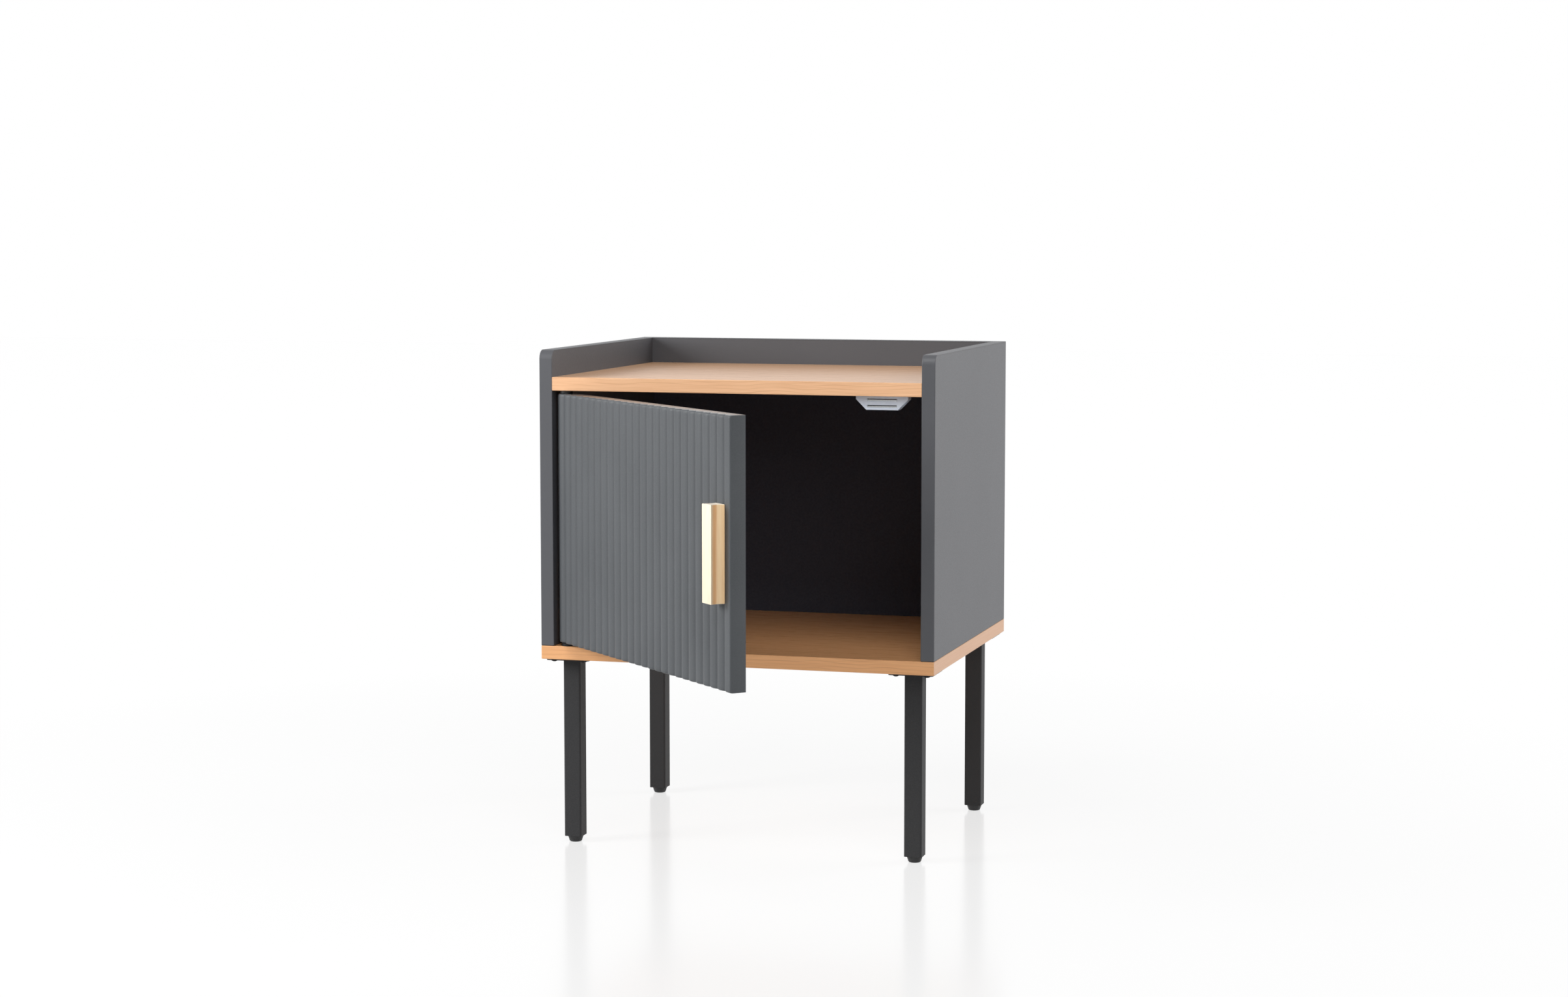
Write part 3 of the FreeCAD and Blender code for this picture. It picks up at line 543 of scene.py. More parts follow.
def slate_lacquer():
    """Sprayed satin lacquer on milled fibreboard: slate grey, even, with a faint orange
    peel whose cells are about 1.5 mm across. The sanded ends take it smoother and shine."""
    cloud_scale = 14.0          # very faint clouds of 70 mm
    dust_scale = 1500.0         # specks of spray dust, 0.7 mm, finer in life
    peel_scale = 650.0
    peel_height = 0.0002
    smoothest, dullest = 0.46, 0.54
    end_roughness = 0.22
    front_sheen, end_sheen = 0.3, 0.6
    material, tree, shader = new_material("slate satin lacquer")
    given = add(tree, "ShaderNodeTexCoord").outputs
    place = given["Object"]
    facing = add(tree, "ShaderNodeSeparateXYZ", {0: given["Normal"]}).outputs
    upright = add(tree, "ShaderNodeMath", {0: facing[2]}, operation="ABSOLUTE").outputs[0]
    on_end = add(tree, "ShaderNodeMath", {0: upright, 1: 0.9}, operation="GREATER_THAN").outputs[0]
    cloud = add(tree, "ShaderNodeTexNoise",
                {"Vector": place, "Scale": cloud_scale, "Detail": 3.0}).outputs[0]
    ground = add(tree, "ShaderNodeValToRGB", {0: cloud},
                 stops=((0.3, "#494c4f"), (0.7, "#4e5154"))).outputs[0]
    dust = add(tree, "ShaderNodeTexNoise",
               {"Vector": place, "Scale": dust_scale, "Detail": 2.0}).outputs[0]
    specks = add(tree, "ShaderNodeMapRange",
                 {0: dust, 1: 0.45, 2: 0.75, 3: 0.0, 4: 0.2}).outputs[0]
    dusted = add(tree, "ShaderNodeMix", {0: specks, 6: ground, 7: linear("#6a6c70")},
                 data_type="RGBA").outputs[2]
    tree.links.new(dusted, shader.inputs["Base Color"])
    peel = add(tree, "ShaderNodeTexNoise",
               {"Vector": place, "Scale": peel_scale, "Detail": 1.0}).outputs[0]
    gloss = add(tree, "ShaderNodeMapRange",
                {0: peel, 1: 0.3, 2: 0.7, 3: smoothest, 4: dullest}).outputs[0]
    smoothed = add(tree, "ShaderNodeMapRange", {0: on_end, 3: gloss, 4: end_roughness}).outputs[0]
    tree.links.new(smoothed, shader.inputs["Roughness"])
    sheen = add(tree, "ShaderNodeMapRange", {0: on_end, 3: front_sheen, 4: end_sheen}).outputs[0]
    tree.links.new(sheen, shader.inputs["Specular IOR Level"])
    relief = add(tree, "ShaderNodeBump",
                 {"Height": peel, "Strength": 0.2, "Distance": peel_height})
    tree.links.new(relief.outputs[0], shader.inputs["Normal"])
    return material


def reeded_tree(finish):
    """A Geometry Nodes tree for a slab whose front is ribbed with upright reeds. Each reed is
    an arc from valley to valley, and the last one runs on flat from its crest to the free
    edge. The whole profile is carried back along a quarter circle at the slab's ends."""
    tree = bpy.data.node_groups.new("reeded slab", "GeometryNodeTree")
    for name in ("Width", "Thickness", "Height", "Reed Depth", "End Round", "Free Arris"):
        tree.interface.new_socket(name, in_out="INPUT", socket_type="NodeSocketFloat")
    for name in ("Reeds", "Steps", "Rows"):
        tree.interface.new_socket(name, in_out="INPUT", socket_type="NodeSocketInt")
    tree.interface.new_socket("Slab", in_out="OUTPUT", socket_type="NodeSocketGeometry")
    given = add(tree, "NodeGroupInput").outputs

    def rounding(radius, left):
        """How deep a circle of that radius has dropped, at a distance from its top."""
        across = add(tree, "ShaderNodeMath", {0: radius, 1: radius},
                     operation="MULTIPLY").outputs[0]
        along = add(tree, "ShaderNodeMath", {0: left, 1: left}, operation="MULTIPLY").outputs[0]
        rest = add(tree, "ShaderNodeMath", {0: across, 1: along}, operation="SUBTRACT").outputs[0]
        kept = add(tree, "ShaderNodeMath", {0: rest, 1: 0.0}, operation="MAXIMUM").outputs[0]
        rise = add(tree, "ShaderNodeMath", {0: kept}, operation="SQRT").outputs[0]
        return add(tree, "ShaderNodeMath", {0: radius, 1: rise}, operation="SUBTRACT").outputs[0]

    def corner(radius, distance):
        """How deep a rounded corner cuts in, at a distance from the end of the slab."""
        left = add(tree, "ShaderNodeMath", {0: radius, 1: distance},
                   operation="SUBTRACT").outputs[0]
        inside = add(tree, "ShaderNodeMath", {0: left, 1: 0.0}, operation="MAXIMUM").outputs[0]
        return rounding(radius, inside)

    size = add(tree, "ShaderNodeCombineXYZ",
               {0: given["Width"], 1: given["Thickness"], 2: given["Height"]}).outputs[0]
    columns = add(tree, "ShaderNodeMath", {0: given["Reeds"], 1: given["Steps"], 2: 1.0},
                  operation="MULTIPLY_ADD").outputs[0]
    slab = add(tree, "GeometryNodeMeshCube",
               {"Size": size, "Vertices X": columns, "Vertices Y": 2,
                "Vertices Z": given["Rows"]}).outputs[0]
    spot = add(tree, "GeometryNodeInputPosition").outputs[0]
    at = add(tree, "ShaderNodeSeparateXYZ", {0: spot}).outputs

    # The rows crowd towards the ends, and the last reed's columns towards the free edge.
    crowding = 3.0
    half_height = add(tree, "ShaderNodeMath", {0: given["Height"], 1: 2.0},
                      operation="DIVIDE").outputs[0]
    up = add(tree, "ShaderNodeMath", {0: at[2], 1: half_height}, operation="DIVIDE").outputs[0]
    up_share = add(tree, "ShaderNodeMath", {0: up}, operation="ABSOLUTE").outputs[0]
    from_end = add(tree, "ShaderNodeMath", {0: 1.0, 1: up_share}, operation="SUBTRACT").outputs[0]
    crowded = add(tree, "ShaderNodeMath", {0: from_end, 1: crowding}, operation="POWER").outputs[0]
    end_distance = add(tree, "ShaderNodeMath", {0: crowded, 1: half_height},
                       operation="MULTIPLY").outputs[0]
    way = add(tree, "ShaderNodeMath", {0: up}, operation="SIGN").outputs[0]
    height = add(tree, "ShaderNodeMath", {0: half_height, 1: end_distance},
                 operation="SUBTRACT").outputs[0]
    level = add(tree, "ShaderNodeMath", {0: way, 1: height}, operation="MULTIPLY").outputs[0]
    pitch = add(tree, "ShaderNodeMath", {0: given["Width"], 1: given["Reeds"]},
                operation="DIVIDE").outputs[0]
    half_width = add(tree, "ShaderNodeMath", {0: given["Width"], 1: 2.0},
                     operation="DIVIDE").outputs[0]
    to_free = add(tree, "ShaderNodeMath", {0: half_width, 1: at[0]},
                  operation="SUBTRACT").outputs[0]
    to_free_edge = add(tree, "ShaderNodeMath", {0: to_free, 1: 0.0},
                       operation="MAXIMUM").outputs[0]
    reeds_left = add(tree, "ShaderNodeMath", {0: to_free_edge, 1: pitch},
                     operation="DIVIDE").outputs[0]
    share = add(tree, "ShaderNodeMath", {0: reeds_left, 1: 1.0}, operation="MINIMUM").outputs[0]
    free_distance = add(tree, "ShaderNodeMath", {0: to_free_edge, 1: share},
                        operation="MULTIPLY").outputs[0]
    across = add(tree, "ShaderNodeMath", {0: half_width, 1: free_distance},
                 operation="SUBTRACT").outputs[0]

    # Each reed's arc has its chord from valley to valley and its height in the reed depth.
    reeds_from_edge = add(tree, "ShaderNodeMath", {0: free_distance, 1: pitch},
                          operation="DIVIDE").outputs[0]
    just_past = add(tree, "ShaderNodeMath", {0: reeds_from_edge, 1: 0.00001},
                    operation="ADD").outputs[0]
    in_reed = add(tree, "ShaderNodeMath", {0: just_past}, operation="FRACT").outputs[0]
    half_depth = add(tree, "ShaderNodeMath", {0: given["Reed Depth"], 1: 2.0},
                     operation="DIVIDE").outputs[0]
    slimness = add(tree, "ShaderNodeMath", {0: pitch, 1: given["Reed Depth"]},
                   operation="DIVIDE").outputs[0]
    eighth = add(tree, "ShaderNodeMath", {0: pitch, 1: 8.0}, operation="DIVIDE").outputs[0]
    chord = add(tree, "ShaderNodeMath", {0: slimness, 1: eighth}, operation="MULTIPLY").outputs[0]
    radius = add(tree, "ShaderNodeMath", {0: chord, 1: half_depth}, operation="ADD").outputs[0]
    off_middle = add(tree, "ShaderNodeMath", {0: in_reed, 1: 0.5}, operation="SUBTRACT").outputs[0]
    off_crest = add(tree, "ShaderNodeMath", {0: off_middle, 1: pitch},
                    operation="MULTIPLY").outputs[0]
    past_last_crest = add(tree, "ShaderNodeMath", {0: reeds_from_edge, 1: 0.5},
                          operation="LESS_THAN").outputs[0]
    before_last_crest = add(tree, "ShaderNodeMath", {0: 1.0, 1: past_last_crest},
                            operation="SUBTRACT").outputs[0]
    off_reed = add(tree, "ShaderNodeMath", {0: off_crest, 1: before_last_crest},
                   operation="MULTIPLY").outputs[0]
    reed_cut = rounding(radius, off_reed)
    arris_cut = corner(given["Free Arris"], free_distance)
    end_cut = corner(given["End Round"], end_distance)
    profile = add(tree, "ShaderNodeMath", {0: reed_cut, 1: arris_cut}, operation="ADD").outputs[0]
    cut = add(tree, "ShaderNodeMath", {0: profile, 1: end_cut}, operation="ADD").outputs[0]
    in_front = add(tree, "ShaderNodeMath", {0: at[1], 1: 0.0}, operation="LESS_THAN").outputs[0]
    depth = add(tree, "ShaderNodeMath", {0: cut, 1: in_front, 2: at[1]},
                operation="MULTIPLY_ADD").outputs[0]
    place = add(tree, "ShaderNodeCombineXYZ", {0: across, 1: depth, 2: level}).outputs[0]
    shaped = add(tree, "GeometryNodeSetPosition", {"Geometry": slab, "Position": place}).outputs[0]
    real = add(tree, "GeometryNodeRealizeInstances", {0: shaped}).outputs[0]
    painted = add(tree, "GeometryNodeSetMaterial", {0: real, "Material": finish}).outputs[0]
    add(tree, "NodeGroupOutput", {0: painted})
    return tree


def on_door(thing):
    """Puts an object drawn on the closed door on the open one, its place in its mesh."""
    thing.data.transform(swing)
    return thing


door = as_object("reeded-door", bmesh.new())
grown(door, reeded_tree(slate_lacquer()), width=door_width, thickness=door_thickness,
      height=door_height, reed_depth=reed_depth, end_round=reed_end, free_arris=free_arris,
      reeds=reed_count, steps=reed_steps, rows=slab_rows)
arris = door.modifiers.new("arris", "BEVEL")
arris.width = sanded_arris
arris.segments = 3
arris.limit_method = "ANGLE"
arris.angle_limit = math.radians(60)
settled(door)
door_middle = (0, door_front + door_thickness / 2, door_low_z + door_height / 2)
door.data.transform(Matrix.Translation(door_middle))
smooth(on_door(door), 40)
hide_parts("door_panel")
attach(door, "door")

# ---- Handle --------------------------------------------------------------------------------
# A bar of pale pine, moulded with a finger hollow down each side, then cut to 100 mm and
# sanded. Two machine screws from behind the door hold it, in brass inserts.

handle_length = 0.100
handle_from_edge = 0.0195
handle_width = 0.020
handle_projection = 0.016
handle_waist = 0.015
handle_foot = 0.019
hollow_lead = 0.9           # under 1, so that the hollow is deepest before its middle
sanded_edge = 0.0008
handle_x = door_left + door_width - handle_from_edge
handle_z = door_low_z + door_height / 2
handle_tip = door_front - handle_projection


def clear_pine():
    """Pine under clear matt lacquer. Its colour goes by depth behind the tip, in bands that
    lie parallel to the face and run down the bar, 3 to 5 mm apart. These bands are painted
    light and shade: creamy as a painted highlight at the face, warm brown as painted shade
    in the hollow and pale again as painted light on the flare, and their sway makes them
    read as growth layers. Its cut ends are paler, as a painted highlight."""
    # The bands of painted light and shade bend like growth layers down the bar.
    sway_scale = (160.0, 160.0, 14.0)       # the layers bend once in 70 mm down the bar
    sway_depth = 0.0032
    fibre_scale = (1900.0, 1900.0, 45.0)    # fibres 0.5 mm thick and 22 mm long
    fibre_height = 0.0002
    end_highlight = 0.85
    material, tree, shader = new_material("clear-lacquered pine")
    given = add(tree, "ShaderNodeTexCoord").outputs
    place = given["Object"]
    facing = add(tree, "ShaderNodeSeparateXYZ", {0: given["Normal"]}).outputs
    upright = add(tree, "ShaderNodeMath", {0: facing[2]}, operation="ABSOLUTE").outputs[0]
    on_end = add(tree, "ShaderNodeMath", {0: upright, 1: 0.7}, operation="GREATER_THAN").outputs[0]
    square = add(tree, "ShaderNodeMapping", {"Vector": place, "Rotation": (0, 0, door_open)},
                 vector_type="POINT").outputs[0]
    at = add(tree, "ShaderNodeSeparateXYZ", {0: square}).outputs
    tip = (Matrix.Rotation(door_open, 4, "Z") @ swing @ Vector((handle_x, handle_tip, handle_z))).y
    behind = add(tree, "ShaderNodeMath", {0: at[1], 1: tip}, operation="SUBTRACT").outputs[0]
    sway_at = add(tree, "ShaderNodeVectorMath", {0: square, 1: sway_scale},
                  operation="MULTIPLY").outputs[0]
    sway = add(tree, "ShaderNodeTexNoise",
               {"Vector": sway_at, "Scale": 1.0, "Detail": 2.0}).outputs[0]
    swayed = add(tree, "ShaderNodeMath", {0: sway, 1: sway_depth, 2: behind},
                 operation="MULTIPLY_ADD").outputs[0]
    depth = add(tree, "ShaderNodeMath", {0: swayed, 1: handle_projection},
                operation="DIVIDE").outputs[0]
    # Painted light and shade by depth: a creamy highlight on the face, shade in the hollow, light
    # on the flare.
    ground = add(tree, "ShaderNodeValToRGB", {0: depth},
                 stops=((0.0, "#f6edd6"), (0.16, "#f3e4c8"), (0.28, "#ecc092"), (0.45, "#e9b27c"),
                        (0.62, "#fbd9ab"), (0.8, "#fcdcae"), (1.0, "#f8d2a0"))).outputs[0]
    fibre_at = add(tree, "ShaderNodeVectorMath", {0: square, 1: fibre_scale},
                   operation="MULTIPLY").outputs[0]
    fibres = add(tree, "ShaderNodeTexNoise",
                 {"Vector": fibre_at, "Scale": 1.0, "Detail": 2.0}).outputs[0]
    streak = add(tree, "ShaderNodeMapRange",
                 {0: fibres, 1: 0.45, 2: 0.75, 3: 0.0, 4: 0.28}).outputs[0]
    # Painted highlight: the cut ends are made paler.
    cut = add(tree, "ShaderNodeMath", {0: on_end, 1: end_highlight},
              operation="MULTIPLY").outputs[0]
    painted_light_and_shade = add(tree, "ShaderNodeMix", {0: cut, 6: ground, 7: linear("#f9f3e6")},
                data_type="RGBA").outputs[2]
    streaked = add(tree, "ShaderNodeMix", {0: streak, 6: painted_light_and_shade, 7: linear("#cf9b68")},
                   data_type="RGBA").outputs[2]
    tree.links.new(streaked, shader.inputs["Base Color"])
    relief = add(tree, "ShaderNodeBump",
                 {"Height": fibres, "Strength": 0.2, "Distance": fibre_height})
    tree.links.new(relief.outputs[0], shader.inputs["Normal"])
    shader.inputs["Roughness"].default_value = 0.5
    shader.inputs["IOR"].default_value = 1.5
    return material


def handle_outline(steps=14):
    """One side of the bar's section, from the front corner back to the door, as (half width,
    distance behind the tip): a hollow that is deepest just in front of its middle."""
    points = []
    for i in range(steps + 1):
        t = i / steps
        chord = handle_width / 2 + (handle_foot - handle_width) / 2 * t
        hollow = (handle_width - handle_waist) / 2 * math.sin(math.pi * t ** hollow_lead)
        points.append((chord - hollow, handle_projection * t))
    return points


side = handle_outline()
ring = [(handle_x + half, handle_tip + back) for half, back in side]
ring += [(handle_x - half, handle_tip + back) for half, back in reversed(side)]
bar = bmesh.new()
floor_ring = [bar.verts.new((x, y, handle_z - handle_length / 2)) for x, y in ring]
base = bar.faces.new(floor_ring)
lifted = bmesh.ops.extrude_face_region(bar, geom=[base])["geom"]
for vertex in [part for part in lifted if isinstance(part, bmesh.types.BMVert)]:
    vertex.co.z += handle_length
bmesh.ops.recalc_face_normals(bar, faces=bar.faces)
handle = as_object("pine-handle", bar)
sanding = handle.modifiers.new("sanding", "BEVEL")
sanding.width = sanded_edge
sanding.segments = 3
sanding.limit_method = "ANGLE"
sanding.angle_limit = math.radians(40)
settled(handle)
handle.data.materials.append(clear_pine())
smooth(on_door(handle))
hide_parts("door_handle")
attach(handle, "door")


def brass():
    """Plain turned brass, a little dulled. The turning marks are drawn at about 0.8 mm,
    coarser than in life."""
    turning_scale = 1200.0
    material, tree, shader = new_material("turned brass")
    place = add(tree, "ShaderNodeTexCoord").outputs["Object"]
    turning = add(tree, "ShaderNodeTexNoise",
                  {"Vector": place, "Scale": turning_scale, "Detail": 2.0}).outputs[0]
    ground = add(tree, "ShaderNodeValToRGB", {0: turning},
                 stops=((0.3, "#b8964e"), (0.7, "#cdac62"))).outputs[0]
    tree.links.new(ground, shader.inputs["Base Color"])
    shader.inputs["Metallic"].default_value = 1.0
    shader.inputs["Roughness"].default_value = 0.35
    return material


finish_nodes(brass(), "handle_inserts")

handle_screw_spacing = 0.064
door_back = door_front + door_thickness
handle_screw_places = [
    swing @ Vector((handle_x, door_back, handle_z + end * handle_screw_spacing / 2))
    for end in (-1, 1)
]
inward = swing.to_3x3() @ Vector((0, -1, 0))
screws("handle-screws", "handle_screws", "door", zinc,
       screw_blank(head_diameter=0.008, head_height=0.0026, shank_diameter=0.004, length=0.026,
                   raised=True), inward, handle_screw_places)

# ---- Magnetic catch -----------------------------------------------------------------------
# A white moulded body screwed up under the top board. A ferrite block inside it sits
# between two steel bars whose ends reach the plate on the back of the door.


def white_abs():
    """Moulded ABS: satin white with the mould's faint ripple of about 6 mm. Its cool blue tint
    is partly the plastic's own and partly painted light, for the cool light that falls on
    it under the top board.
    """
    ripple_scale = 160.0
    ripple_height = 0.0003
    material, tree, shader = new_material("white ABS")
    place = add(tree, "ShaderNodeTexCoord").outputs["Object"]
    ripple = add(tree, "ShaderNodeTexNoise",
                 {"Vector": place, "Scale": ripple_scale, "Detail": 2.0}).outputs[0]
    # Partly painted light: the blue in these whites stands for the cool light under the top board.
    ground = add(tree, "ShaderNodeValToRGB", {0: ripple},
                 stops=((0.3, "#dfe9f8"), (0.7, "#e5effc"))).outputs[0]
    tree.links.new(ground, shader.inputs["Base Color"])
    relief = add(tree, "ShaderNodeBump",
                 {"Height": ripple, "Strength": 0.15, "Distance": ripple_height})
    tree.links.new(relief.outputs[0], shader.inputs["Normal"])
    shader.inputs["Roughness"].default_value = 0.35
    shader.inputs["IOR"].default_value = 1.53
    return material


def ferrite():
    """Sintered ferrite: dull charcoal, with grains drawn at about 0.7 mm, coarser than in
    life."""
    grain_scale = 1500.0
    material, tree, shader = new_material("ferrite")
    place = add(tree, "ShaderNodeTexCoord").outputs["Object"]
    grains = add(tree, "ShaderNodeTexNoise",
                 {"Vector": place, "Scale": grain_scale, "Detail": 3.0}).outputs[0]
    ground = add(tree, "ShaderNodeValToRGB", {0: grains},
                 stops=((0.3, "#2a2a2c"), (0.7, "#3a3a3c"))).outputs[0]
    tree.links.new(ground, shader.inputs["Base Color"])
    shader.inputs["Roughness"].default_value = 0.65
    return material


finish_nodes(white_abs(), "catch_housing")
finish_nodes(ferrite(), "catch_magnet")
finish_nodes(zinc, "catch_pole_plates", "strike_plate")

catch_low, catch_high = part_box("catch_screws")
catch_head = catch_high.y - catch_low.y
catch_head_height = 0.0023
catch_seat = catch_low.z + catch_head_height
catch_places = [
    (x, (catch_low.y + catch_high.y) / 2, catch_seat)
    for x in (catch_low.x + catch_head / 2, catch_high.x - catch_head / 2)
]
screws("catch-screws", "catch_screws", "cabinet", zinc,
       screw_blank(catch_head, catch_head_height, shank_diameter=0.0035,
                   length=catch_high.z - catch_seat, raised=True), (0, 0, 1), catch_places)

strike_low, strike_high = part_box("strike_plate")
strike_middle = (strike_low + strike_high) / 2
strike_spacing = 0.024
strike_thickness = 0.0015
along_door = swing.to_3x3() @ Vector((1, 0, 0))
strike_places = [
    strike_middle - inward * strike_thickness / 2 + along_door * end * strike_spacing / 2
    for end in (-1, 1)
]
screws("strike-screws", "strike_screws", "door", zinc,
       screw_blank(head_diameter=0.006, head_height=0.0016, shank_diameter=0.003, length=0.010,
                   raised=False), inward, strike_places)

# ---- Legs ----------------------------------------------------------------------------------
# Four lengths of 20 mm square steel tube, each welded to a square plate and powder
# coated with it in black. Four screws hold each plate to the bottom board.

leg_names = ("front_left", "front_right", "back_left", "back_right")
leg_screw_spacing = 0.035


def powder_coat():
    """Black polyester powder on steel: near black with a low sheen and a fine grain. The
    grain is about 0.3 mm in life and drawn at 0.8 mm."""
    grain_scale = 1200.0
    grain_height = 0.0002
    material, tree, shader = new_material("black powder coat")
    place = add(tree, "ShaderNodeTexCoord").outputs["Object"]
    grain = add(tree, "ShaderNodeTexNoise",
                {"Vector": place, "Scale": grain_scale, "Detail": 2.0}).outputs[0]
    ground = add(tree, "ShaderNodeValToRGB", {0: grain},
                 stops=((0.3, "#333334"), (0.7, "#39393a"))).outputs[0]
    tree.links.new(ground, shader.inputs["Base Color"])
    relief = add(tree, "ShaderNodeBump",
                 {"Height": grain, "Strength": 0.35, "Distance": grain_height})
    tree.links.new(relief.outputs[0], shader.inputs["Normal"])
    shader.inputs["Roughness"].default_value = 0.55
    shader.inputs["Specular IOR Level"].default_value = 0.12
    return material


coat = powder_coat()
finish_nodes(coat, *["leg_tube_" + leg for leg in leg_names])
finish_nodes(coat, *["leg_plate_" + leg for leg in leg_names])

bead_radius = 0.0013
tube_corner = 0.0020    # outer radius of the tube's corners


def bead_tree(finish):
    """A Geometry Nodes tree for the weld that runs round a tube at each of its points, its
    bead rippled every 2.4 mm by the welder's hand."""
    ripple_scale = 420.0
    ripple_share = 0.25     # of the bead's radius
    tree = bpy.data.node_groups.new("weld beads", "GeometryNodeTree")
    tree.interface.new_socket("Places", in_out="INPUT", socket_type="NodeSocketGeometry")
    for name in ("Tube Size", "Corner", "Bead Radius"):
        tree.interface.new_socket(name, in_out="INPUT", socket_type="NodeSocketFloat")
    tree.interface.new_socket("Beads", in_out="OUTPUT", socket_type="NodeSocketGeometry")
    given = add(tree, "NodeGroupInput").outputs
    square = add(tree, "GeometryNodeCurvePrimitiveQuadrilateral",
                 {"Width": given["Tube Size"], "Height": given["Tube Size"]}).outputs[0]
    rounded = add(tree, "GeometryNodeFilletCurve",
                  {"Curve": square, "Radius": given["Corner"], "Count": 5}, mode="POLY").outputs[0]
    path = add(tree, "GeometryNodeResampleCurve", {"Curve": rounded, "Count": 120}).outputs[0]
    section = add(tree, "GeometryNodeCurvePrimitiveCircle",
                  {"Resolution": 8, "Radius": given["Bead Radius"]}).outputs[0]
    bead = add(tree, "GeometryNodeCurveToMesh",
               {"Curve": path, "Profile Curve": section}).outputs[0]
    spot = add(tree, "GeometryNodeInputPosition").outputs[0]
    ripple = add(tree, "ShaderNodeTexNoise",
                 {"Vector": spot, "Scale": ripple_scale, "Detail": 1.0}).outputs[0]
    swell = add(tree, "ShaderNodeMapRange",
                {0: ripple, 1: 0.3, 2: 0.7, 3: -ripple_share, 4: ripple_share}).outputs[0]
    push = add(tree, "ShaderNodeMath", {0: swell, 1: given["Bead Radius"]},
               operation="MULTIPLY").outputs[0]
    outward = add(tree, "GeometryNodeInputNormal").outputs[0]
    offset = add(tree, "ShaderNodeVectorMath", {0: outward, "Scale": push},
                 operation="SCALE").outputs[0]
    rippled = add(tree, "GeometryNodeSetPosition", {"Geometry": bead, "Offset": offset}).outputs[0]
    placed = add(tree, "GeometryNodeInstanceOnPoints",
                 {"Points": given["Places"], "Instance": rippled}).outputs[0]
    real = add(tree, "GeometryNodeRealizeInstances", {0: placed}).outputs[0]
    painted = add(tree, "GeometryNodeSetMaterial", {0: real, "Material": finish}).outputs[0]
    add(tree, "NodeGroupOutput", {0: painted})
    return tree


leg_tops = []
for leg in leg_names:
    tube_low, tube_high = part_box("leg_tube_" + leg)
    tube_middle = (tube_low + tube_high) / 2
    leg_tops.append(Vector((tube_middle.x, tube_middle.y, tube_high.z)))
tube_size = tube_high.x - tube_low.x

bead_places = bmesh.new()
for top in leg_tops:
    bead_places.verts.new(top)
beads = grown(as_object("weld-beads", bead_places), bead_tree(coat),
              tube_size=tube_size, corner=tube_corner, bead_radius=bead_radius)
smooth(beads, 60)
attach(beads, "cabinet")

leg_screw_places = [
    top + Vector((x * leg_screw_spacing / 2, y * leg_screw_spacing / 2, 0))
    for top in leg_tops for x in (-1, 1) for y in (-1, 1)
]
screws("leg-screws", "leg_screws", "cabinet", black_zinc(),
       screw_blank(head_diameter=0.0076, head_height=0.0023, shank_diameter=0.004, length=0.012,
                   raised=True), (0, 0, 1), leg_screw_places)

# ---- Feet ----------------------------------------------------------------------------------
# Black polyethylene glides, each moulded in one piece with the plug above it. The plug
# is pressed into the tube and grips by its fins.


def black_polyethylene():
    """Moulded polyethylene: black and waxy, dulled by scuffs of about 2 mm."""
    scuff_scale = 500.0
    smoothest, dullest = 0.4, 0.6
    material, tree, shader = new_material("black polyethylene")
    place = add(tree, "ShaderNodeTexCoord").outputs["Object"]
    scuffs = add(tree, "ShaderNodeTexNoise",
                 {"Vector": place, "Scale": scuff_scale, "Detail": 3.0}).outputs[0]
    ground = add(tree, "ShaderNodeValToRGB", {0: scuffs},
                 stops=((0.4, "#1b1b1c"), (0.75, "#2c2c2d"))).outputs[0]
    tree.links.new(ground, shader.inputs["Base Color"])
    gloss = add(tree, "ShaderNodeMapRange",
                {0: scuffs, 1: 0.3, 2: 0.7, 3: smoothest, 4: dullest}).outputs[0]
    tree.links.new(gloss, shader.inputs["Roughness"])
    shader.inputs["Specular IOR Level"].default_value = 0.4
    return material


finish_nodes(black_polyethylene(), *["foot_glide_" + leg for leg in leg_names])

# ---- Studio --------------------------------------------------------------------------------
# A white floor that runs out into a white surround, soft lamps on both sides, weaker ones
# above the table and at its front right, and a camera just above the height of its top.

scene = bpy.context.scene
scene.view_settings.view_transform = "Standard"
room_light = 0.10       # how much the surround adds from every side


def seen_directly(tree):
    """1 for what the camera, a mirror or a lens sees, and 0 for the light that falls on things."""
    path = add(tree, "ShaderNodeLightPath").outputs
    mirrored = add(tree, "ShaderNodeMath", {0: path["Is Camera Ray"], 1: path["Is Glossy Ray"]},
                   operation="MAXIMUM").outputs[0]
    return add(tree, "ShaderNodeMath", {0: mirrored, 1: path["Is Transmission Ray"]},
               operation="MAXIMUM").outputs[0]


world = bpy.data.worlds.new("white surround")
scene.world = world
world.use_nodes = True
surround = world.node_tree
surround.nodes.clear()
level = add(surround, "ShaderNodeMapRange",
            {0: seen_directly(surround), 3: room_light, 4: 1.0}).outputs[0]
backdrop = add(surround, "ShaderNodeBackground",
               {"Color": (1, 1, 1, 1), "Strength": level}).outputs[0]
add(surround, "ShaderNodeOutputWorld", {0: backdrop})


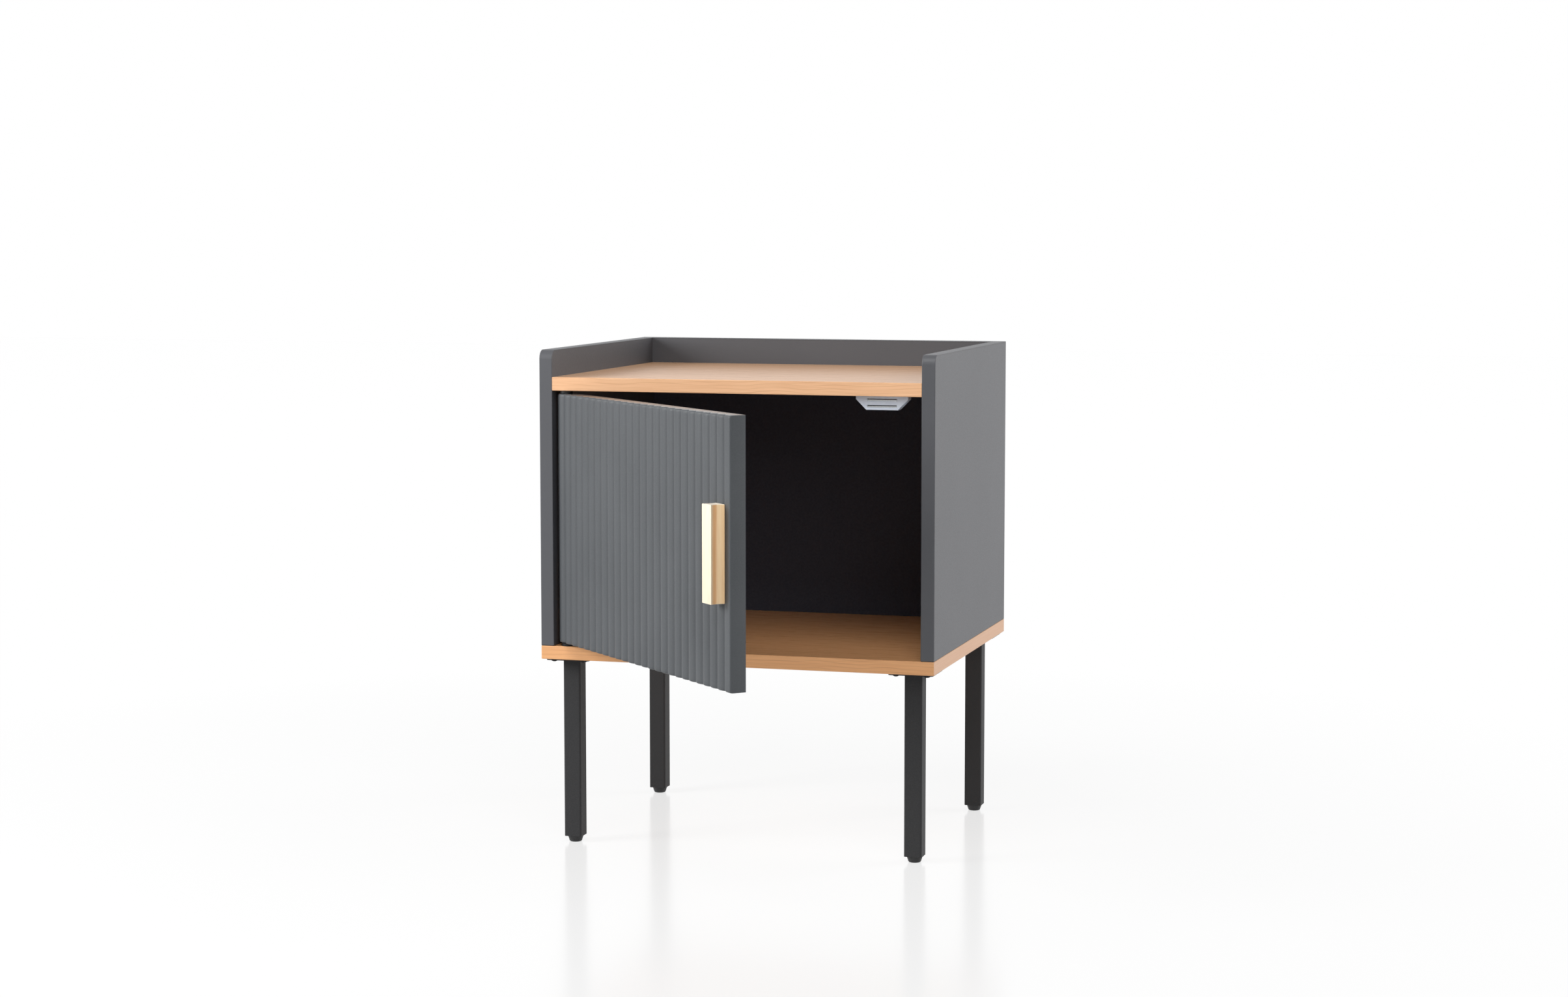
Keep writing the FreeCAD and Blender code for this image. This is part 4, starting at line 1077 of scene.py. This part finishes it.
def white_floor():
    """Satin white sheet: it keeps a soft shadow near the feet, whitens away from them until
    it meets the surround, and mirrors both faintly where it is seen at a low angle. What it
    throws back on the table is a little dimmer than it looks, as from a smaller sheet."""
    white_from, white_at = 0.5, 1.4     # metres from the table's middle
    near_white = 0.86                   # leaves the rest to show the shadow
    low_angle_index = 1.12              # how soon the sheen sets in as the angle gets low
    sheen_roughness = 0.16
    material, tree, shader = new_material("white sheet")
    place = add(tree, "ShaderNodeTexCoord").outputs["Object"]
    away = add(tree, "ShaderNodeVectorMath", {0: place}, operation="LENGTH").outputs["Value"]
    far = add(tree, "ShaderNodeMapRange",
              {0: away, 1: white_from, 2: white_at, 3: near_white, 4: 1.0}).outputs[0]
    shown = add(tree, "ShaderNodeMath", {0: far, 1: seen_directly(tree)},
                operation="MULTIPLY").outputs[0]
    glow = add(tree, "ShaderNodeEmission", {"Color": (1, 1, 1, 1), "Strength": 1.0}).outputs[0]
    shade = add(tree, "ShaderNodeMix",
                {0: seen_directly(tree), 6: linear("#dadada"), 7: linear("#f4f4f4")},
                data_type="RGBA").outputs[2]
    tree.links.new(shade, shader.inputs["Base Color"])
    shader.inputs["Roughness"].default_value = 0.9
    shader.inputs["Specular IOR Level"].default_value = 0.0
    lit = add(tree, "ShaderNodeMixShader", {0: shown, 1: shader.outputs[0], 2: glow}).outputs[0]
    low_angle = add(tree, "ShaderNodeFresnel", {"IOR": low_angle_index}).outputs[0]
    sheen = add(tree, "ShaderNodeBsdfAnisotropic",
                {"Color": (1, 1, 1, 1), "Roughness": sheen_roughness}).outputs[0]
    glazed = add(tree, "ShaderNodeMixShader", {0: low_angle, 1: lit, 2: sheen}).outputs[0]
    tree.links.new(glazed, tree.nodes["Material Output"].inputs["Surface"])
    return material


sheet_reach = 12.0
sheet = bmesh.new()
bmesh.ops.create_grid(sheet, x_segments=1, y_segments=1, size=sheet_reach)
floor = as_object("floor", sheet)
floor.data.materials.append(white_floor())

table_middle = Vector((0.0, (board_low.y + board_high.y) / 2, 0.30))


def soft_lamp(name, place, width, height, share):
    """An area lamp aimed at the table's middle. Its share is how bright it would render a
    white face that is turned to it there."""
    lamp = bpy.data.lights.new(name, "AREA")
    lamp.shape = "RECTANGLE"
    lamp.size = width
    lamp.size_y = height
    aim = table_middle - Vector(place)
    lamp.energy = share * (math.pi * aim.length) ** 2
    light = bpy.data.objects.new(name, lamp)
    light.location = place
    light.rotation_euler = aim.to_track_quat("-Z", "Y").to_euler()
    scene.collection.objects.link(light)


soft_lamp("left lamp", (-1.9, -1.15, 1.1), width=0.9, height=0.9, share=0.79)
soft_lamp("right lamp", (1.85, 1.0, 1.0), width=1.2, height=1.2, share=0.55)
soft_lamp("top lamp", (0.1, -0.9, 1.7), width=1.0, height=1.0, share=0.40)
soft_lamp("front lamp", (1.3, -2.1, 1.5), width=1.3, height=1.3, share=0.16)

camera_place = Vector((0.9584, board_low.y - 3.0963, 0.7077))
camera_turn = math.radians(16.229)      # to the left of straight ahead
camera_pitch = math.radians(5.479)      # downwards
lens = bpy.data.cameras.new("camera")
lens.sensor_width = 36.0
lens.lens = 68.576
camera = bpy.data.objects.new("camera", lens)
camera.location = camera_place
camera.rotation_euler = (math.pi / 2 - camera_pitch, 0.0, camera_turn)
scene.collection.objects.link(camera)
scene.camera = camera
